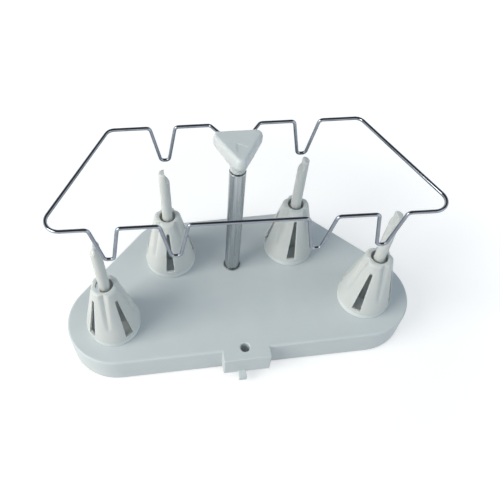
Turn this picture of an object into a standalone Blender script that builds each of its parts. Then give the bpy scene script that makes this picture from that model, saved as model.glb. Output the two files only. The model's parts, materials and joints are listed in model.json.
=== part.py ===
"""Thread spool stand: four coned spool pins and a telescopic thread guide on one base.

Metres, +Z up, front of the stand towards -Y. The origin is the middle of the footprint,
on the surface that the rubber feet stand on.
"""
import math

import bmesh
import bpy
from mathutils import Matrix, Vector

# Clearances
SEAT_GAP = 0.0003
SLIDE_GAP = 0.0003

# Base, measured from the post's axis and from the skirt's lower edge
BASE_HEIGHT = 0.0255
FRONT_REACH = 0.0775
BACK_REACH = 0.0492
FRONT_CORNER_X = 0.0957
FRONT_CORNER_RADIUS = 0.0382
BACK_CORNER_RADIUS = 0.0261
SIDE_ANGLE = math.radians(42.4)
TOP_FILLET = 0.0018
PLATE_THICKNESS = 0.0026
SKIRT_THICKNESS = 0.0024
HOLLOW_FILLET = 0.0010
CORNER_STEPS = 12

# Bosses and ribs under the top plate, their depths from its upper face
BOSS_DEPTH = 0.0131
PIN_BOSS_RADIUS = 0.0075
POST_BOSS_RADIUS = 0.0100
FOOT_BOSS_RADIUS = 0.0085
FOOT_BOSS_LIFT = 0.0010
SOCKET_DEPTH = 0.0090
RIB_THICKNESS = 0.0016
RIB_DEPTH = 0.0073

# Front tab with its screw hole and locating tongue
TAB_WIDTH = 0.0360
TAB_HEIGHT = 0.0200
TAB_REACH = 0.0082
TAB_WALL = 0.0024
TAB_X = -0.0007
TAB_EDGE = 0.0008
TAB_HOLE_X = -0.0014
TAB_HOLE_RADIUS = 0.0036
TAB_HOLE_INSET = 0.0018
TAB_BOSS_WALL = 0.0024
TAB_HOLE_CHAMFER = 0.0005
TONGUE_X = -0.0045
TONGUE_WIDTH = 0.0060
TONGUE_REACH = 0.0063
TONGUE_THICKNESS = 0.0046
TONGUE_DROP = 0.0022

# Rubber feet
FOOT_DROP = 0.0015
FOOT_RADIUS = 0.0075
FRONT_FOOT = (0.1160, -0.0400)
BACK_FOOT = (0.0580, 0.0300)

# Spool pins
FRONT_PIN = (0.0975, -0.0436)
BACK_PIN = (0.0492, 0.0122)
PIN_HEIGHT = 0.1016
PIN_FOOT_RADIUS = 0.0044
PIN_NECK_RADIUS = 0.0039
PIN_NECK_HEIGHT = 0.0620
PIN_TOP_RADIUS = 0.0036
PIN_STEP = 0.0092
PIN_STEP_SLOPE = 0.0030
PIN_STEP_OFFSET = 0.0004
PIN_TURNS = {"front_left": 180.0, "front_right": 180.0, "back_left": 0.0, "back_right": 180.0}

# Seat discs and cones on the pins
DISC_RADIUS = 0.0199
DISC_HEIGHT = 0.0050
DISC_FILLET = 0.0008
CONE_RADIUS = 0.0203
CONE_HEIGHT = 0.0498
CONE_TOP_RADIUS = 0.0102
CONE_MOUTH_RADIUS = 0.0061
CONE_SHOULDER = 0.0028
CONE_WALL = 0.0018
CONE_TOP_WALL = 0.0024
WINDOW_LOW = 0.0032
WINDOW_HIGH = 0.0415
WINDOW_LOW_WIDTH = 0.0066
WINDOW_HIGH_WIDTH = 0.0020
FLUTE_END = 0.0130
FLUTE_LOW = 0.0170
FLUTE_LOW_HALF = 0.0023
FLUTE_LOW_DEPTH = 0.0010
FLUTE_TOP_HALF = 0.0035
FLUTE_TOP_DEPTH = 0.0022
FLUTE_INNER_SHARE = 0.7
CONE_TURNS = {"front_left": -53.0, "front_right": -37.0, "back_left": -5.0, "back_right": -8.0}

# Screws that come up from below
PIN_SCREW_RADIUS = 0.0013
PIN_SCREW_LENGTH = 0.0095
PIN_SCREW_HEAD_RADIUS = 0.0030
POST_SCREW_RADIUS = 0.0020
POST_SCREW_LENGTH = 0.0090
POST_SCREW_HEAD_RADIUS = 0.0044
SCREW_HEAD_HEIGHT = 0.0020
SLOT_WIDTH = 0.0008
SLOT_DEPTH = 0.0010

# Telescopic post
POST_RADIUS = 0.0058
MIDDLE_RADIUS = 0.0042
ROD_RADIUS = 0.0024
TUBE_WALL = 0.0005
LIP_HEIGHT = 0.0020
PLUG_HEIGHT = 0.0070
LOWER_BUSH_HEIGHT = 0.0137
UPPER_BUSH_HEIGHT = 0.0242
BUSH_FLOOR = 0.0012
BUSH_HOLE_RADIUS = 0.0012
FOOT_RING_WIDTH = 0.0008
FOOT_RING_HEIGHT = 0.0010

# Guide head
HEAD_HEIGHT = 0.0238
HEAD_OVER_WIRE = 0.0077
NECK_RADIUS = 0.0052
NECK_LENGTH = 0.0012
NECK_GAP = 0.0010
MIDDLE_STANDS_OUT = 0.0070
ROD_IN_HEAD = 0.0095
HEAD_BACK = 0.0132
HEAD_HALF_WIDTH = 0.0190
HEAD_FRONT = 0.0215
HEAD_CORNER_RADIUS = 0.0042
HEAD_WALL = 0.0058
HEAD_EDGE = 0.0024
HEAD_EDGE_DROP = 0.0038
MARK_RADIUS = 0.0048
MARK_DEPTH = 0.0004
MARK_FORWARD = 0.0038

# Wire guide, in the head's own directions, its height above the base's top
WIRE_HEIGHT = 0.1267
WIRE_RADIUS = 0.0012
WIRE_FRONT = 0.0573
WIRE_BACK = 0.0263
WIRE_FRONT_HALF = 0.1240
WIRE_BACK_HALF = 0.0842
WIRE_JOG_X = 0.0168
WIRE_END = (0.0050, 0.0095)
FRONT_BEND_RADIUS = 0.0105
BACK_BEND_RADIUS = 0.0060
NOTCH_BEND_RADIUS = 0.0028
JOG_BEND_RADIUS = 0.0032
NOTCH_DEPTH = 0.0299
NOTCH_TOP_HALF = 0.0085
NOTCH_BOTTOM_HALF = 0.0029
OUTER_NOTCH_X = 0.0851
INNER_NOTCH_X = 0.0437
BACK_NOTCH_X = 0.0485
GUIDE_TURN = math.radians(-3.14)

# Sides of round pieces and the turn between points along a bend
BEND_STEP = math.radians(24.0)
FINE_SIDES = 32
ROUND_SIDES = 24
SMALL_SIDES = 12

# Places that follow from the sizes above
PLATE_TOP = FOOT_DROP + BASE_HEIGHT
POST_Y = (FRONT_REACH + TAB_REACH + TONGUE_REACH - BACK_REACH) / 2
POST_AXIS = Vector((0.0, POST_Y, 0.0))
BOSS_Z = PLATE_TOP - BOSS_DEPTH
TAB_Z = PLATE_TOP - TAB_HEIGHT
SOCKET_FLOOR = PLATE_TOP - SOCKET_DEPTH
WIRE_Z = PLATE_TOP + WIRE_HEIGHT
HEAD_TOP = WIRE_Z + HEAD_OVER_WIRE
NECK_BOTTOM = HEAD_TOP - HEAD_HEIGHT
POST_TOP = NECK_BOTTOM - NECK_GAP
MIDDLE_TOP = POST_TOP + MIDDLE_STANDS_OUT
HEAD_SOCKET_TOP = MIDDLE_TOP + SEAT_GAP
ROD_TOP = HEAD_SOCKET_TOP + ROD_IN_HEAD
POST_BORE = POST_RADIUS - TUBE_WALL
MIDDLE_BORE = MIDDLE_RADIUS - TUBE_WALL
PLUG_TOP = SOCKET_FLOOR + SEAT_GAP + PLUG_HEIGHT
LOWER_BUSH_Z = PLUG_TOP + SEAT_GAP
UPPER_BUSH_Z = LOWER_BUSH_Z + BUSH_FLOOR + SEAT_GAP

MODEL = bpy.data.collections.new("thread_spool_stand")
CUTTERS = bpy.data.collections.new("cutters")


def clear_scene():
    for old in list(bpy.data.objects):
        bpy.data.objects.remove(old, do_unlink=True)
    bpy.context.scene.collection.children.link(MODEL)
    bpy.context.scene.collection.children.link(CUTTERS)


def material(name, colour, roughness, metallic=0.0):
    made = bpy.data.materials.new(name)
    made.use_nodes = True
    shader = made.node_tree.nodes["Principled BSDF"]
    shader.inputs["Base Color"].default_value = (*colour, 1.0)
    shader.inputs["Roughness"].default_value = roughness
    shader.inputs["Metallic"].default_value = metallic
    return made


def add_object(name, mesh, finish, location=(0.0, 0.0, 0.0), turn=0.0, parent=None):
    made = bpy.data.objects.new(name, mesh)
    if finish is not None and not mesh.materials:
        mesh.materials.append(finish)
    made.location = location
    made.rotation_euler = (0.0, 0.0, turn)
    made.parent = parent
    MODEL.objects.link(made)
    return made


def add_empty(name, location, turn=0.0, parent=None):
    made = bpy.data.objects.new(name, None)
    made.location = location
    made.rotation_euler = (0.0, 0.0, turn)
    made.parent = parent
    made.empty_display_size = 0.01
    MODEL.objects.link(made)
    return made


def mesh_from(bm, name, smooth=True):
    bmesh.ops.recalc_face_normals(bm, faces=bm.faces)
    mesh = bpy.data.meshes.new(name)
    bm.to_mesh(mesh)
    bm.free()
    if smooth:
        mesh.shade_smooth()
        mesh.set_sharp_from_angle(angle=math.radians(35.0))
    return mesh


def add_cutter(name, mesh, parent=None):
    made = bpy.data.objects.new(name, mesh)
    made.parent = parent
    made.hide_render = True
    made.display_type = "WIRE"
    CUTTERS.objects.link(made)
    return made


def combine(target, other, operation):
    step = target.modifiers.new(f"{operation.lower()}_{other.name}", "BOOLEAN")
    step.operation = operation
    step.object = other
    step.solver = "EXACT"


def cylinder(name, centre, radius, low, high, sides=ROUND_SIDES, top_radius=None):
    """A closed upright cylinder or cone frustum from height low to height high."""
    bm = bmesh.new()
    place = Matrix.Translation((centre[0], centre[1], (low + high) / 2))
    upper = radius if top_radius is None else top_radius
    bmesh.ops.create_cone(bm, cap_ends=True, segments=sides, radius1=radius, radius2=upper,
                          depth=high - low, matrix=place)
    return mesh_from(bm, name)


def rod_between(name, start, end, radius, sides):
    """A closed cylinder along the line from start to end."""
    line = Vector(end) - Vector(start)
    middle = (Vector(start) + Vector(end)) / 2
    place = Matrix.Translation(middle) @ line.to_track_quat("Z", "Y").to_matrix().to_4x4()
    bm = bmesh.new()
    bmesh.ops.create_cone(bm, cap_ends=True, segments=sides, radius1=radius, radius2=radius,
                          depth=line.length, matrix=place)
    return mesh_from(bm, name)


def box(name, low, high, turn=0.0, pivot=(0.0, 0.0, 0.0)):
    """A closed box between two corners, turned about the upright line through pivot."""
    low, high = Vector(low), Vector(high)
    bm = bmesh.new()
    bmesh.ops.create_cube(bm, size=1.0)
    bmesh.ops.scale(bm, vec=high - low, verts=bm.verts)
    bmesh.ops.translate(bm, vec=(low + high) / 2, verts=bm.verts)
    bmesh.ops.rotate(bm, cent=pivot, matrix=Matrix.Rotation(turn, 3, "Z"), verts=bm.verts)
    return mesh_from(bm, name, smooth=False)


def turned(name, profile, sides, closed):
    """A turned shape: the profile is (radius, height) points, down the outer side first."""
    mesh = bpy.data.meshes.new(name)
    edges = [(i, i + 1) for i in range(len(profile) - 1)]
    if closed:
        edges.append((len(profile) - 1, 0))
    mesh.from_pydata([(radius, 0.0, height) for radius, height in profile], edges, [])
    made = bpy.data.objects.new(name, mesh)
    CUTTERS.objects.link(made)
    screw = made.modifiers.new("turn", "SCREW")
    screw.steps = sides
    screw.render_steps = sides
    screw.use_merge_vertices = True
    screw.merge_threshold = 0.00001
    return frozen(made, name)


def frozen(source, name):
    """The evaluated mesh of an object, with its modifiers applied; the object is removed."""
    graph = bpy.context.evaluated_depsgraph_get()
    mesh = bpy.data.meshes.new_from_object(source.evaluated_get(graph))
    mesh.name = name
    bpy.data.objects.remove(source, do_unlink=True)
    mesh.shade_smooth()
    mesh.set_sharp_from_angle(angle=math.radians(35.0))
    return mesh


def arc(centre, radius, start, end, steps):
    """Points of an arc in a plane, both ends included."""
    points = []
    for i in range(steps + 1):
        angle = start + (end - start) * i / steps
        points.append((centre[0] + radius * math.cos(angle), centre[1] + radius * math.sin(angle)))
    return points


def from_post(x, y):
    """A place given from the post's axis, as world X and Y."""
    return (x, y + POST_Y)


def base_outline(inset):
    """The base's rounded trapezoid, moved inwards by inset, counter-clockwise from the front."""
    normal = Vector((math.cos(SIDE_ANGLE), math.sin(SIDE_ANGLE)))
    front = Vector((FRONT_CORNER_X, FRONT_CORNER_RADIUS - FRONT_REACH))
    back_y = BACK_REACH - BACK_CORNER_RADIUS
    reach = front.dot(normal) + FRONT_CORNER_RADIUS - BACK_CORNER_RADIUS
    back = Vector(((reach - back_y * normal.y) / normal.x, back_y))
    right = arc(front, FRONT_CORNER_RADIUS - inset, -math.pi / 2, SIDE_ANGLE, CORNER_STEPS)
    right += arc(back, BACK_CORNER_RADIUS - inset, SIDE_ANGLE, math.pi / 2, CORNER_STEPS // 2)
    left = [(-x, y) for x, y in reversed(right)]
    return [from_post(x, y) for x, y in right + left]


def slab(name, outline, low, high, fillet=0.0):
    """An upright prism on an outline, with its upper edge rounded by fillet."""
    bm = bmesh.new()
    floor = bm.faces.new([bm.verts.new((x, y, low)) for x, y in outline])
    raised = bmesh.ops.extrude_face_region(bm, geom=[floor])
    top = [item for item in raised["geom"] if isinstance(item, bmesh.types.BMVert)]
    bmesh.ops.translate(bm, vec=(0.0, 0.0, high - low), verts=top)
    if fillet > 0.0:
        rim = [e for e in bm.edges if all(abs(v.co.z - high) < 1e-7 for v in e.verts)]
        bmesh.ops.bevel(bm, geom=rim, offset=fillet, segments=3, profile=0.5, affect="EDGES")
    return mesh_from(bm, name)


def four_places(front, back):
    """The names and places of four like parts, a pair in the front row and a pair in the back."""
    places = []
    for row, (x, y) in (("front", front), ("back", back)):
        places.append((f"{row}_left", from_post(-x, y)))
        places.append((f"{row}_right", from_post(x, y)))
    return places


def pin_places():
    return four_places(FRONT_PIN, BACK_PIN)


def foot_places():
    return four_places(FRONT_FOOT, BACK_FOOT)


def base_joined(base):
    """Adds the tab, its tongue and the bosses and ribs under the top plate."""
    plate_middle = PLATE_TOP - PLATE_THICKNESS / 2
    edge = POST_Y - FRONT_REACH
    front = edge - TAB_REACH
    back = edge + TOP_FILLET + 2 * TAB_EDGE
    left = TAB_X - TAB_WIDTH / 2
    right = TAB_X + TAB_WIDTH / 2
    corners = [(left, front), (right, front), (right, back), (left, back)]
    tab = slab("tab", corners, TAB_Z, PLATE_TOP, TAB_EDGE)
    combine(base, add_cutter("tab", tab), "UNION")
    boss = cylinder("tab_boss", (TAB_HOLE_X, edge + TAB_HOLE_INSET), TAB_HOLE_RADIUS + TAB_BOSS_WALL,
                    TAB_Z, plate_middle)
    combine(base, add_cutter("tab_boss", boss), "UNION")
    low = (TONGUE_X - TONGUE_WIDTH / 2, front - TONGUE_REACH, TAB_Z - TONGUE_DROP)
    high = (TONGUE_X + TONGUE_WIDTH / 2, front + TAB_WALL / 2, low[2] + TONGUE_THICKNESS)
    combine(base, add_cutter("tongue", box("tongue", low, high)), "UNION")
    post = from_post(0.0, 0.0)
    for name, place in pin_places():
        line = Vector(place) - Vector(post)
        start = POST_BOSS_RADIUS - RIB_THICKNESS
        end = line.length - PIN_BOSS_RADIUS + RIB_THICKNESS
        low = (post[0] + start, post[1] - RIB_THICKNESS / 2, PLATE_TOP - RIB_DEPTH)
        high = (post[0] + end, post[1] + RIB_THICKNESS / 2, plate_middle)
        rib = box(f"rib_{name}", low, high, math.atan2(line.y, line.x), (*post, 0.0))
        combine(base, add_cutter(f"rib_{name}", rib), "UNION")
        boss = cylinder(f"boss_{name}", place, PIN_BOSS_RADIUS, BOSS_Z, plate_middle)
        combine(base, add_cutter(f"boss_{name}", boss), "UNION")
    boss = cylinder("post_boss", post, POST_BOSS_RADIUS, BOSS_Z, plate_middle)
    combine(base, add_cutter("post_boss", boss), "UNION")
    for name, place in foot_places():
        boss = cylinder(f"foot_boss_{name}", place, FOOT_BOSS_RADIUS, FOOT_DROP + FOOT_BOSS_LIFT,
                        plate_middle)
        combine(base, add_cutter(f"foot_boss_{name}", boss), "UNION")


def base_cut(base):
    """Cuts the tab's hole and pockets, and the sockets and screw holes in the bosses."""
    edge = POST_Y - FRONT_REACH
    profile = [(0.0, PLATE_TOP + TAB_HOLE_CHAMFER),
               (TAB_HOLE_RADIUS + 2 * TAB_HOLE_CHAMFER, PLATE_TOP + TAB_HOLE_CHAMFER),
               (TAB_HOLE_RADIUS, PLATE_TOP - TAB_HOLE_CHAMFER), (TAB_HOLE_RADIUS, 0.0), (0.0, 0.0)]
    drill = turned("tab_hole", profile, ROUND_SIDES, closed=False)
    drill.transform(Matrix.Translation((TAB_HOLE_X, edge + TAB_HOLE_INSET, 0.0)))
    combine(base, add_cutter("tab_hole", drill), "DIFFERENCE")
    for side in (-1, 1):
        near = TAB_HOLE_X + side * (TAB_HOLE_RADIUS + TAB_BOSS_WALL)
        far = TAB_X + side * (TAB_WIDTH / 2 - TAB_WALL)
        low = (min(near, far), edge - TAB_REACH + TAB_WALL, 0.0)
        high = (max(near, far), edge, PLATE_TOP - PLATE_THICKNESS)
        pocket = box(f"tab_pocket_{side}", low, high)
        combine(base, add_cutter(f"tab_pocket_{side}", pocket), "DIFFERENCE")
    sockets = [(name, place, PIN_FOOT_RADIUS, PIN_SCREW_RADIUS) for name, place in pin_places()]
    sockets.append(("post", from_post(0.0, 0.0), POST_RADIUS, POST_SCREW_RADIUS))
    for name, place, radius, screw in sockets:
        socket = cylinder(f"socket_{name}", place, radius + SEAT_GAP, SOCKET_FLOOR,
                          PLATE_TOP + radius)
        combine(base, add_cutter(f"socket_{name}", socket), "DIFFERENCE")
        drill = cylinder(f"drill_{name}", place, screw + SEAT_GAP, 0.0, SOCKET_FLOOR + screw,
                         SMALL_SIDES)
        combine(base, add_cutter(f"drill_{name}", drill), "DIFFERENCE")


def make_base(finish):
    """The base moulding: a plate with a skirt, open below."""
    solid = slab("base", base_outline(0.0), FOOT_DROP, PLATE_TOP, TOP_FILLET)
    base = add_object("base", solid, finish)
    hollow = slab("hollow", base_outline(SKIRT_THICKNESS), 0.0, PLATE_TOP - PLATE_THICKNESS,
                  HOLLOW_FILLET)
    combine(base, add_cutter("hollow", hollow), "DIFFERENCE")
    base_joined(base)
    base_cut(base)


def make_feet(finish):
    """Rubber feet under the foot bosses."""
    top = FOOT_DROP + FOOT_BOSS_LIFT - SEAT_GAP
    edge = FOOT_RADIUS / 10
    profile = [(0.0, top), (FOOT_RADIUS, top), (FOOT_RADIUS - edge, edge),
               (FOOT_RADIUS - 2 * edge, 0.0), (0.0, 0.0)]
    mesh = turned("foot", profile, ROUND_SIDES, closed=False)
    for name, place in foot_places():
        add_object(f"foot_{name}", mesh, finish, (*place, 0.0))


def pin_mesh():
    """One tapered spool pin from its foot at height 0, with a hole for its screw below."""
    below = SOCKET_DEPTH - SEAT_GAP
    top = below + PIN_HEIGHT
    dome = PIN_TOP_RADIUS / 3
    profile = [(0.0, top), (PIN_TOP_RADIUS - dome, top), (PIN_TOP_RADIUS - dome / 3, top - dome / 3),
               (PIN_TOP_RADIUS, top - dome), (PIN_NECK_RADIUS, below + PIN_NECK_HEIGHT),
               (PIN_FOOT_RADIUS, below), (PIN_FOOT_RADIUS, 0.0), (0.0, 0.0)]
    pin = add_object("pin_draft", turned("pin_body", profile, SMALL_SIDES + 4, closed=False), None)
    drill = cylinder("pin_drill", (0.0, 0.0), PIN_SCREW_RADIUS + SEAT_GAP, -SEAT_GAP,
                     PIN_SCREW_LENGTH, SMALL_SIDES)
    combine(pin, add_cutter("pin_drill", drill), "DIFFERENCE")
    wide = 2 * PIN_TOP_RADIUS
    bm = bmesh.new()
    side = [(PIN_STEP_OFFSET, top + wide), (PIN_STEP_OFFSET, top - PIN_STEP + PIN_STEP_SLOPE),
            (PIN_TOP_RADIUS + PIN_STEP_OFFSET, top - PIN_STEP - PIN_STEP_SLOPE / 3),
            (wide, top - PIN_STEP), (wide, top + wide)]
    face = bm.faces.new([bm.verts.new((x, -wide, z)) for x, z in side])
    grown = bmesh.ops.extrude_face_region(bm, geom=[face])
    moved = [item for item in grown["geom"] if isinstance(item, bmesh.types.BMVert)]
    bmesh.ops.translate(bm, vec=(0.0, 2 * wide, 0.0), verts=moved)
    combine(pin, add_cutter("pin_step", mesh_from(bm, "pin_step", smooth=False)), "DIFFERENCE")
    return frozen(pin, "spool_pin")


def make_pins(finish):
    mesh = pin_mesh()
    for name, place in pin_places():
        add_object(f"spool_pin_{name}", mesh, finish, (*place, SOCKET_FLOOR + SEAT_GAP),
                   math.radians(PIN_TURNS[name]))


def screw_mesh(name, radius, length, head_radius):
    """A pan-head screw pointing up, its head's upper face at height 0, with a cross slot below."""
    low = -SCREW_HEAD_HEIGHT
    edge = SCREW_HEAD_HEIGHT / 3
    profile = [(0.0, length), (radius / 2, length), (radius, length - radius), (radius, 0.0),
               (head_radius, 0.0), (head_radius, low + edge), (head_radius - edge, low), (0.0, low)]
    body = turned(f"{name}_body", profile, SMALL_SIDES, closed=False)
    screw = add_object(f"{name}_draft", body, None)
    for turn in (0.0, math.pi / 2):
        reach = head_radius * 0.6
        slot = box(f"{name}_slot", (-reach, -SLOT_WIDTH / 2, 2 * low),
                   (reach, SLOT_WIDTH / 2, low + SLOT_DEPTH), turn)
        combine(screw, add_cutter(f"{name}_slot_{turn:.0f}", slot), "DIFFERENCE")
    return frozen(screw, name)


def make_screws(finish):
    """Four pin screws and the post screw, their heads against the bosses."""
    mesh = screw_mesh("pin_screw", PIN_SCREW_RADIUS, PIN_SCREW_LENGTH, PIN_SCREW_HEAD_RADIUS)
    for name, place in pin_places():
        add_object(f"pin_screw_{name}", mesh, finish, (*place, BOSS_Z - SEAT_GAP))
    mesh = screw_mesh("post_screw", POST_SCREW_RADIUS, POST_SCREW_LENGTH, POST_SCREW_HEAD_RADIUS)
    add_object("post_screw", mesh, finish, (*from_post(0.0, 0.0), BOSS_Z - SEAT_GAP))


def make_discs(finish):
    """The round seats that the cones stand on."""
    low = SEAT_GAP
    top = DISC_HEIGHT
    hole = PIN_FOOT_RADIUS + SEAT_GAP
    profile = [(hole, top), (DISC_RADIUS - DISC_FILLET, top),
               (DISC_RADIUS - DISC_FILLET * 0.3, top - DISC_FILLET * 0.3),
               (DISC_RADIUS, top - DISC_FILLET), (DISC_RADIUS, low), (hole, low)]
    mesh = turned("seat_disc", profile, FINE_SIDES, closed=True)
    for name, place in pin_places():
        add_object(f"seat_disc_{name}", mesh, finish, (*place, PLATE_TOP))


def cone_side(height):
    """The radius of the cone's slope at a height."""
    share = (height - CONE_WALL) / (CONE_HEIGHT - CONE_SHOULDER - CONE_WALL)
    return CONE_RADIUS + (CONE_TOP_RADIUS - CONE_RADIUS) * share


def cone_profile():
    """The cone's wall: outer side down, then inner side up."""
    slope_top = CONE_HEIGHT - CONE_SHOULDER
    profile = [(CONE_MOUTH_RADIUS, CONE_HEIGHT)]
    centre = (CONE_TOP_RADIUS - CONE_SHOULDER, slope_top)
    slope = math.atan2(CONE_RADIUS - CONE_TOP_RADIUS, slope_top)
    profile += arc(centre, CONE_SHOULDER, math.pi / 2, slope, 5)
    profile += [(cone_side(height), height) for height in (FLUTE_LOW, FLUTE_END)]
    profile += [(CONE_RADIUS, CONE_WALL), (CONE_RADIUS, 0.0), (CONE_RADIUS - CONE_WALL, 0.0)]
    profile += [(cone_side(height) - CONE_WALL, height) for height in (FLUTE_END, FLUTE_LOW)]
    profile += [(CONE_TOP_RADIUS - CONE_WALL, slope_top),
                (CONE_TOP_RADIUS - CONE_SHOULDER, CONE_HEIGHT - CONE_TOP_WALL),
                (CONE_MOUTH_RADIUS, CONE_HEIGHT - CONE_TOP_WALL)]
    return profile


def flute_cone(mesh):
    """Presses four V grooves into the cone's wall, half way between its windows."""
    slope_top = CONE_HEIGHT - CONE_SHOULDER
    for vertex in mesh.vertices:
        x, y, height = vertex.co
        if height < (FLUTE_END + FLUTE_LOW) / 2:
            continue
        share = min(1.0, (height - FLUTE_LOW) / (slope_top - FLUTE_LOW))
        half = FLUTE_LOW_HALF + (FLUTE_TOP_HALF - FLUTE_LOW_HALF) * share
        depth = FLUTE_LOW_DEPTH + (FLUTE_TOP_DEPTH - FLUTE_LOW_DEPTH) * share
        radius = math.hypot(x, y)
        side = cone_side(height)
        across = side * abs(math.atan2(y, x) % (math.pi / 2) - math.pi / 4)
        depth *= max(0.0, 1.0 - across / half)
        if radius < side - CONE_WALL / 2 and height < CONE_HEIGHT - CONE_TOP_WALL / 2:
            side -= CONE_WALL
            depth *= FLUTE_INNER_SHARE
        drawn = min(radius, side - depth)
        vertex.co.x = x * drawn / radius
        vertex.co.y = y * drawn / radius


def cone_mesh():
    """One hollow cone with four tapered windows and four flutes between them."""
    mesh = turned("cone_body", cone_profile(), FINE_SIDES, closed=True)
    flute_cone(mesh)
    cone = add_object("cone_draft", mesh, None)
    half_low = WINDOW_LOW_WIDTH / 2
    half_high = WINDOW_HIGH_WIDTH / 2
    corners = [(-half_low, WINDOW_LOW), (half_low, WINDOW_LOW),
               (half_high, WINDOW_HIGH), (-half_high, WINDOW_HIGH)]
    for i in range(4):
        spin = Matrix.Rotation(i * math.pi / 2, 3, "Z")
        bm = bmesh.new()
        face = bm.faces.new([bm.verts.new((x, -CONE_MOUTH_RADIUS, z)) for x, z in corners])
        grown = bmesh.ops.extrude_face_region(bm, geom=[face])
        moved = [item for item in grown["geom"] if isinstance(item, bmesh.types.BMVert)]
        bmesh.ops.translate(bm, vec=(0.0, -2 * CONE_RADIUS, 0.0), verts=moved)
        bmesh.ops.rotate(bm, cent=(0.0, 0.0, 0.0), matrix=spin, verts=bm.verts)
        combine(cone, add_cutter(f"window_{i}", mesh_from(bm, "window", smooth=False)), "DIFFERENCE")
    return frozen(cone, "spool_cone")


def make_cones(finish):
    """A cone on each pin, each parented to an empty on the axis that it turns about."""
    mesh = cone_mesh()
    for name, place in pin_places():
        axis = add_empty(f"cone_axis_{name}", (*place, PLATE_TOP + DISC_HEIGHT + SEAT_GAP),
                         math.radians(CONE_TURNS[name]))
        add_object(f"spool_cone_{name}", mesh, finish, parent=axis)


def tube_profile(radius, bore, low, high, lip_bore):
    """A tube whose upper end is rolled in to a narrower lip."""
    lip = high - LIP_HEIGHT
    return [(lip_bore, high), (radius - TUBE_WALL / 2, high), (radius, high - TUBE_WALL / 2),
            (radius, low), (bore, low), (bore, lip), (lip_bore, lip)]


def bush_profile(radius, bore, height):
    """A sleeve with a floor that the tube inside it stands on; under the lip it ends the travel."""
    return [(bore, height), (radius, height), (radius, 0.0), (BUSH_HOLE_RADIUS, 0.0),
            (BUSH_HOLE_RADIUS, BUSH_FLOOR), (bore, BUSH_FLOOR)]


def make_fixed_post(metal, plastic):
    """The outer tube, the ring round its foot and the plug that its screw bites in."""
    low = SOCKET_FLOOR + SEAT_GAP
    profile = tube_profile(POST_RADIUS, POST_BORE, low, POST_TOP, MIDDLE_RADIUS + SLIDE_GAP)
    tube = turned("post_outer_tube", profile, ROUND_SIDES, closed=True)
    add_object("post_outer_tube", tube, metal, POST_AXIS)
    inner = POST_RADIUS + SEAT_GAP
    outer = inner + FOOT_RING_WIDTH
    ring_low = PLATE_TOP + SEAT_GAP
    ring_top = ring_low + FOOT_RING_HEIGHT
    profile = [(inner, ring_top), (outer - FOOT_RING_WIDTH / 2, ring_top),
               (outer, ring_top - FOOT_RING_HEIGHT / 2), (outer, ring_low), (inner, ring_low)]
    ring = turned("post_foot_ring", profile, ROUND_SIDES, closed=True)
    add_object("post_foot_ring", ring, metal, POST_AXIS)
    radius = POST_BORE - SEAT_GAP
    bore = POST_SCREW_RADIUS + SEAT_GAP
    profile = [(bore, PLUG_TOP), (radius, PLUG_TOP), (radius, low), (bore, low)]
    plug = turned("post_plug", profile, ROUND_SIDES, closed=True)
    add_object("post_plug", plug, plastic, POST_AXIS)


def make_middle(axis, metal, plastic):
    """The middle tube and the bush that guides it inside the outer tube."""
    profile = bush_profile(POST_BORE - SLIDE_GAP, MIDDLE_RADIUS + SEAT_GAP, LOWER_BUSH_HEIGHT)
    bush = turned("middle_tube_bush", profile, ROUND_SIDES, closed=True)
    add_object("middle_tube_bush", bush, plastic, (0.0, 0.0, LOWER_BUSH_Z), parent=axis)
    lip_bore = ROD_RADIUS + SLIDE_GAP
    profile = tube_profile(MIDDLE_RADIUS, MIDDLE_BORE, UPPER_BUSH_Z, MIDDLE_TOP, lip_bore)
    tube = turned("post_middle_tube", profile, ROUND_SIDES, closed=True)
    add_object("post_middle_tube", tube, metal, parent=axis)


def make_rod(axis, metal, plastic):
    """The inner rod and the bush that guides it inside the middle tube."""
    profile = bush_profile(MIDDLE_BORE - SLIDE_GAP, ROD_RADIUS + SEAT_GAP, UPPER_BUSH_HEIGHT)
    bush = turned("inner_rod_bush", profile, ROUND_SIDES, closed=True)
    add_object("inner_rod_bush", bush, plastic, (0.0, 0.0, UPPER_BUSH_Z), parent=axis)
    low = UPPER_BUSH_Z + BUSH_FLOOR + SEAT_GAP
    edge = ROD_RADIUS / 5
    profile = [(0.0, ROD_TOP), (ROD_RADIUS - edge, ROD_TOP), (ROD_RADIUS, ROD_TOP - edge),
               (ROD_RADIUS, low), (0.0, low)]
    rod = turned("post_inner_rod", profile, ROUND_SIDES, closed=False)
    add_object("post_inner_rod", rod, metal, parent=axis)


def head_outline(inset):
    """The head's rounded triangle, moved inwards by inset, counter-clockwise."""
    corners = [Vector((-HEAD_HALF_WIDTH, HEAD_BACK)), Vector((0.0, -HEAD_FRONT)),
               Vector((HEAD_HALF_WIDTH, HEAD_BACK))]
    points = []
    for i, corner in enumerate(corners):
        before = (corner - corners[i - 1]).normalized()
        after = (corners[(i + 1) % 3] - corner).normalized()
        half = before.angle(after) / 2
        inward = (after - before).normalized()
        centre = corner + inward * (HEAD_CORNER_RADIUS / math.cos(half))
        start = math.atan2(before.y, before.x) - math.pi / 2
        points += arc(centre, HEAD_CORNER_RADIUS - inset, start, start + 2 * half, 6)
        ahead = corners[(i + 1) % 3]
        normal = Vector((after.y, -after.x))
        for share in (0.36, 0.5, 0.64):
            points.append(tuple(corner.lerp(ahead, share) - normal * inset))
    return [Vector(p) for p in points]


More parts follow.
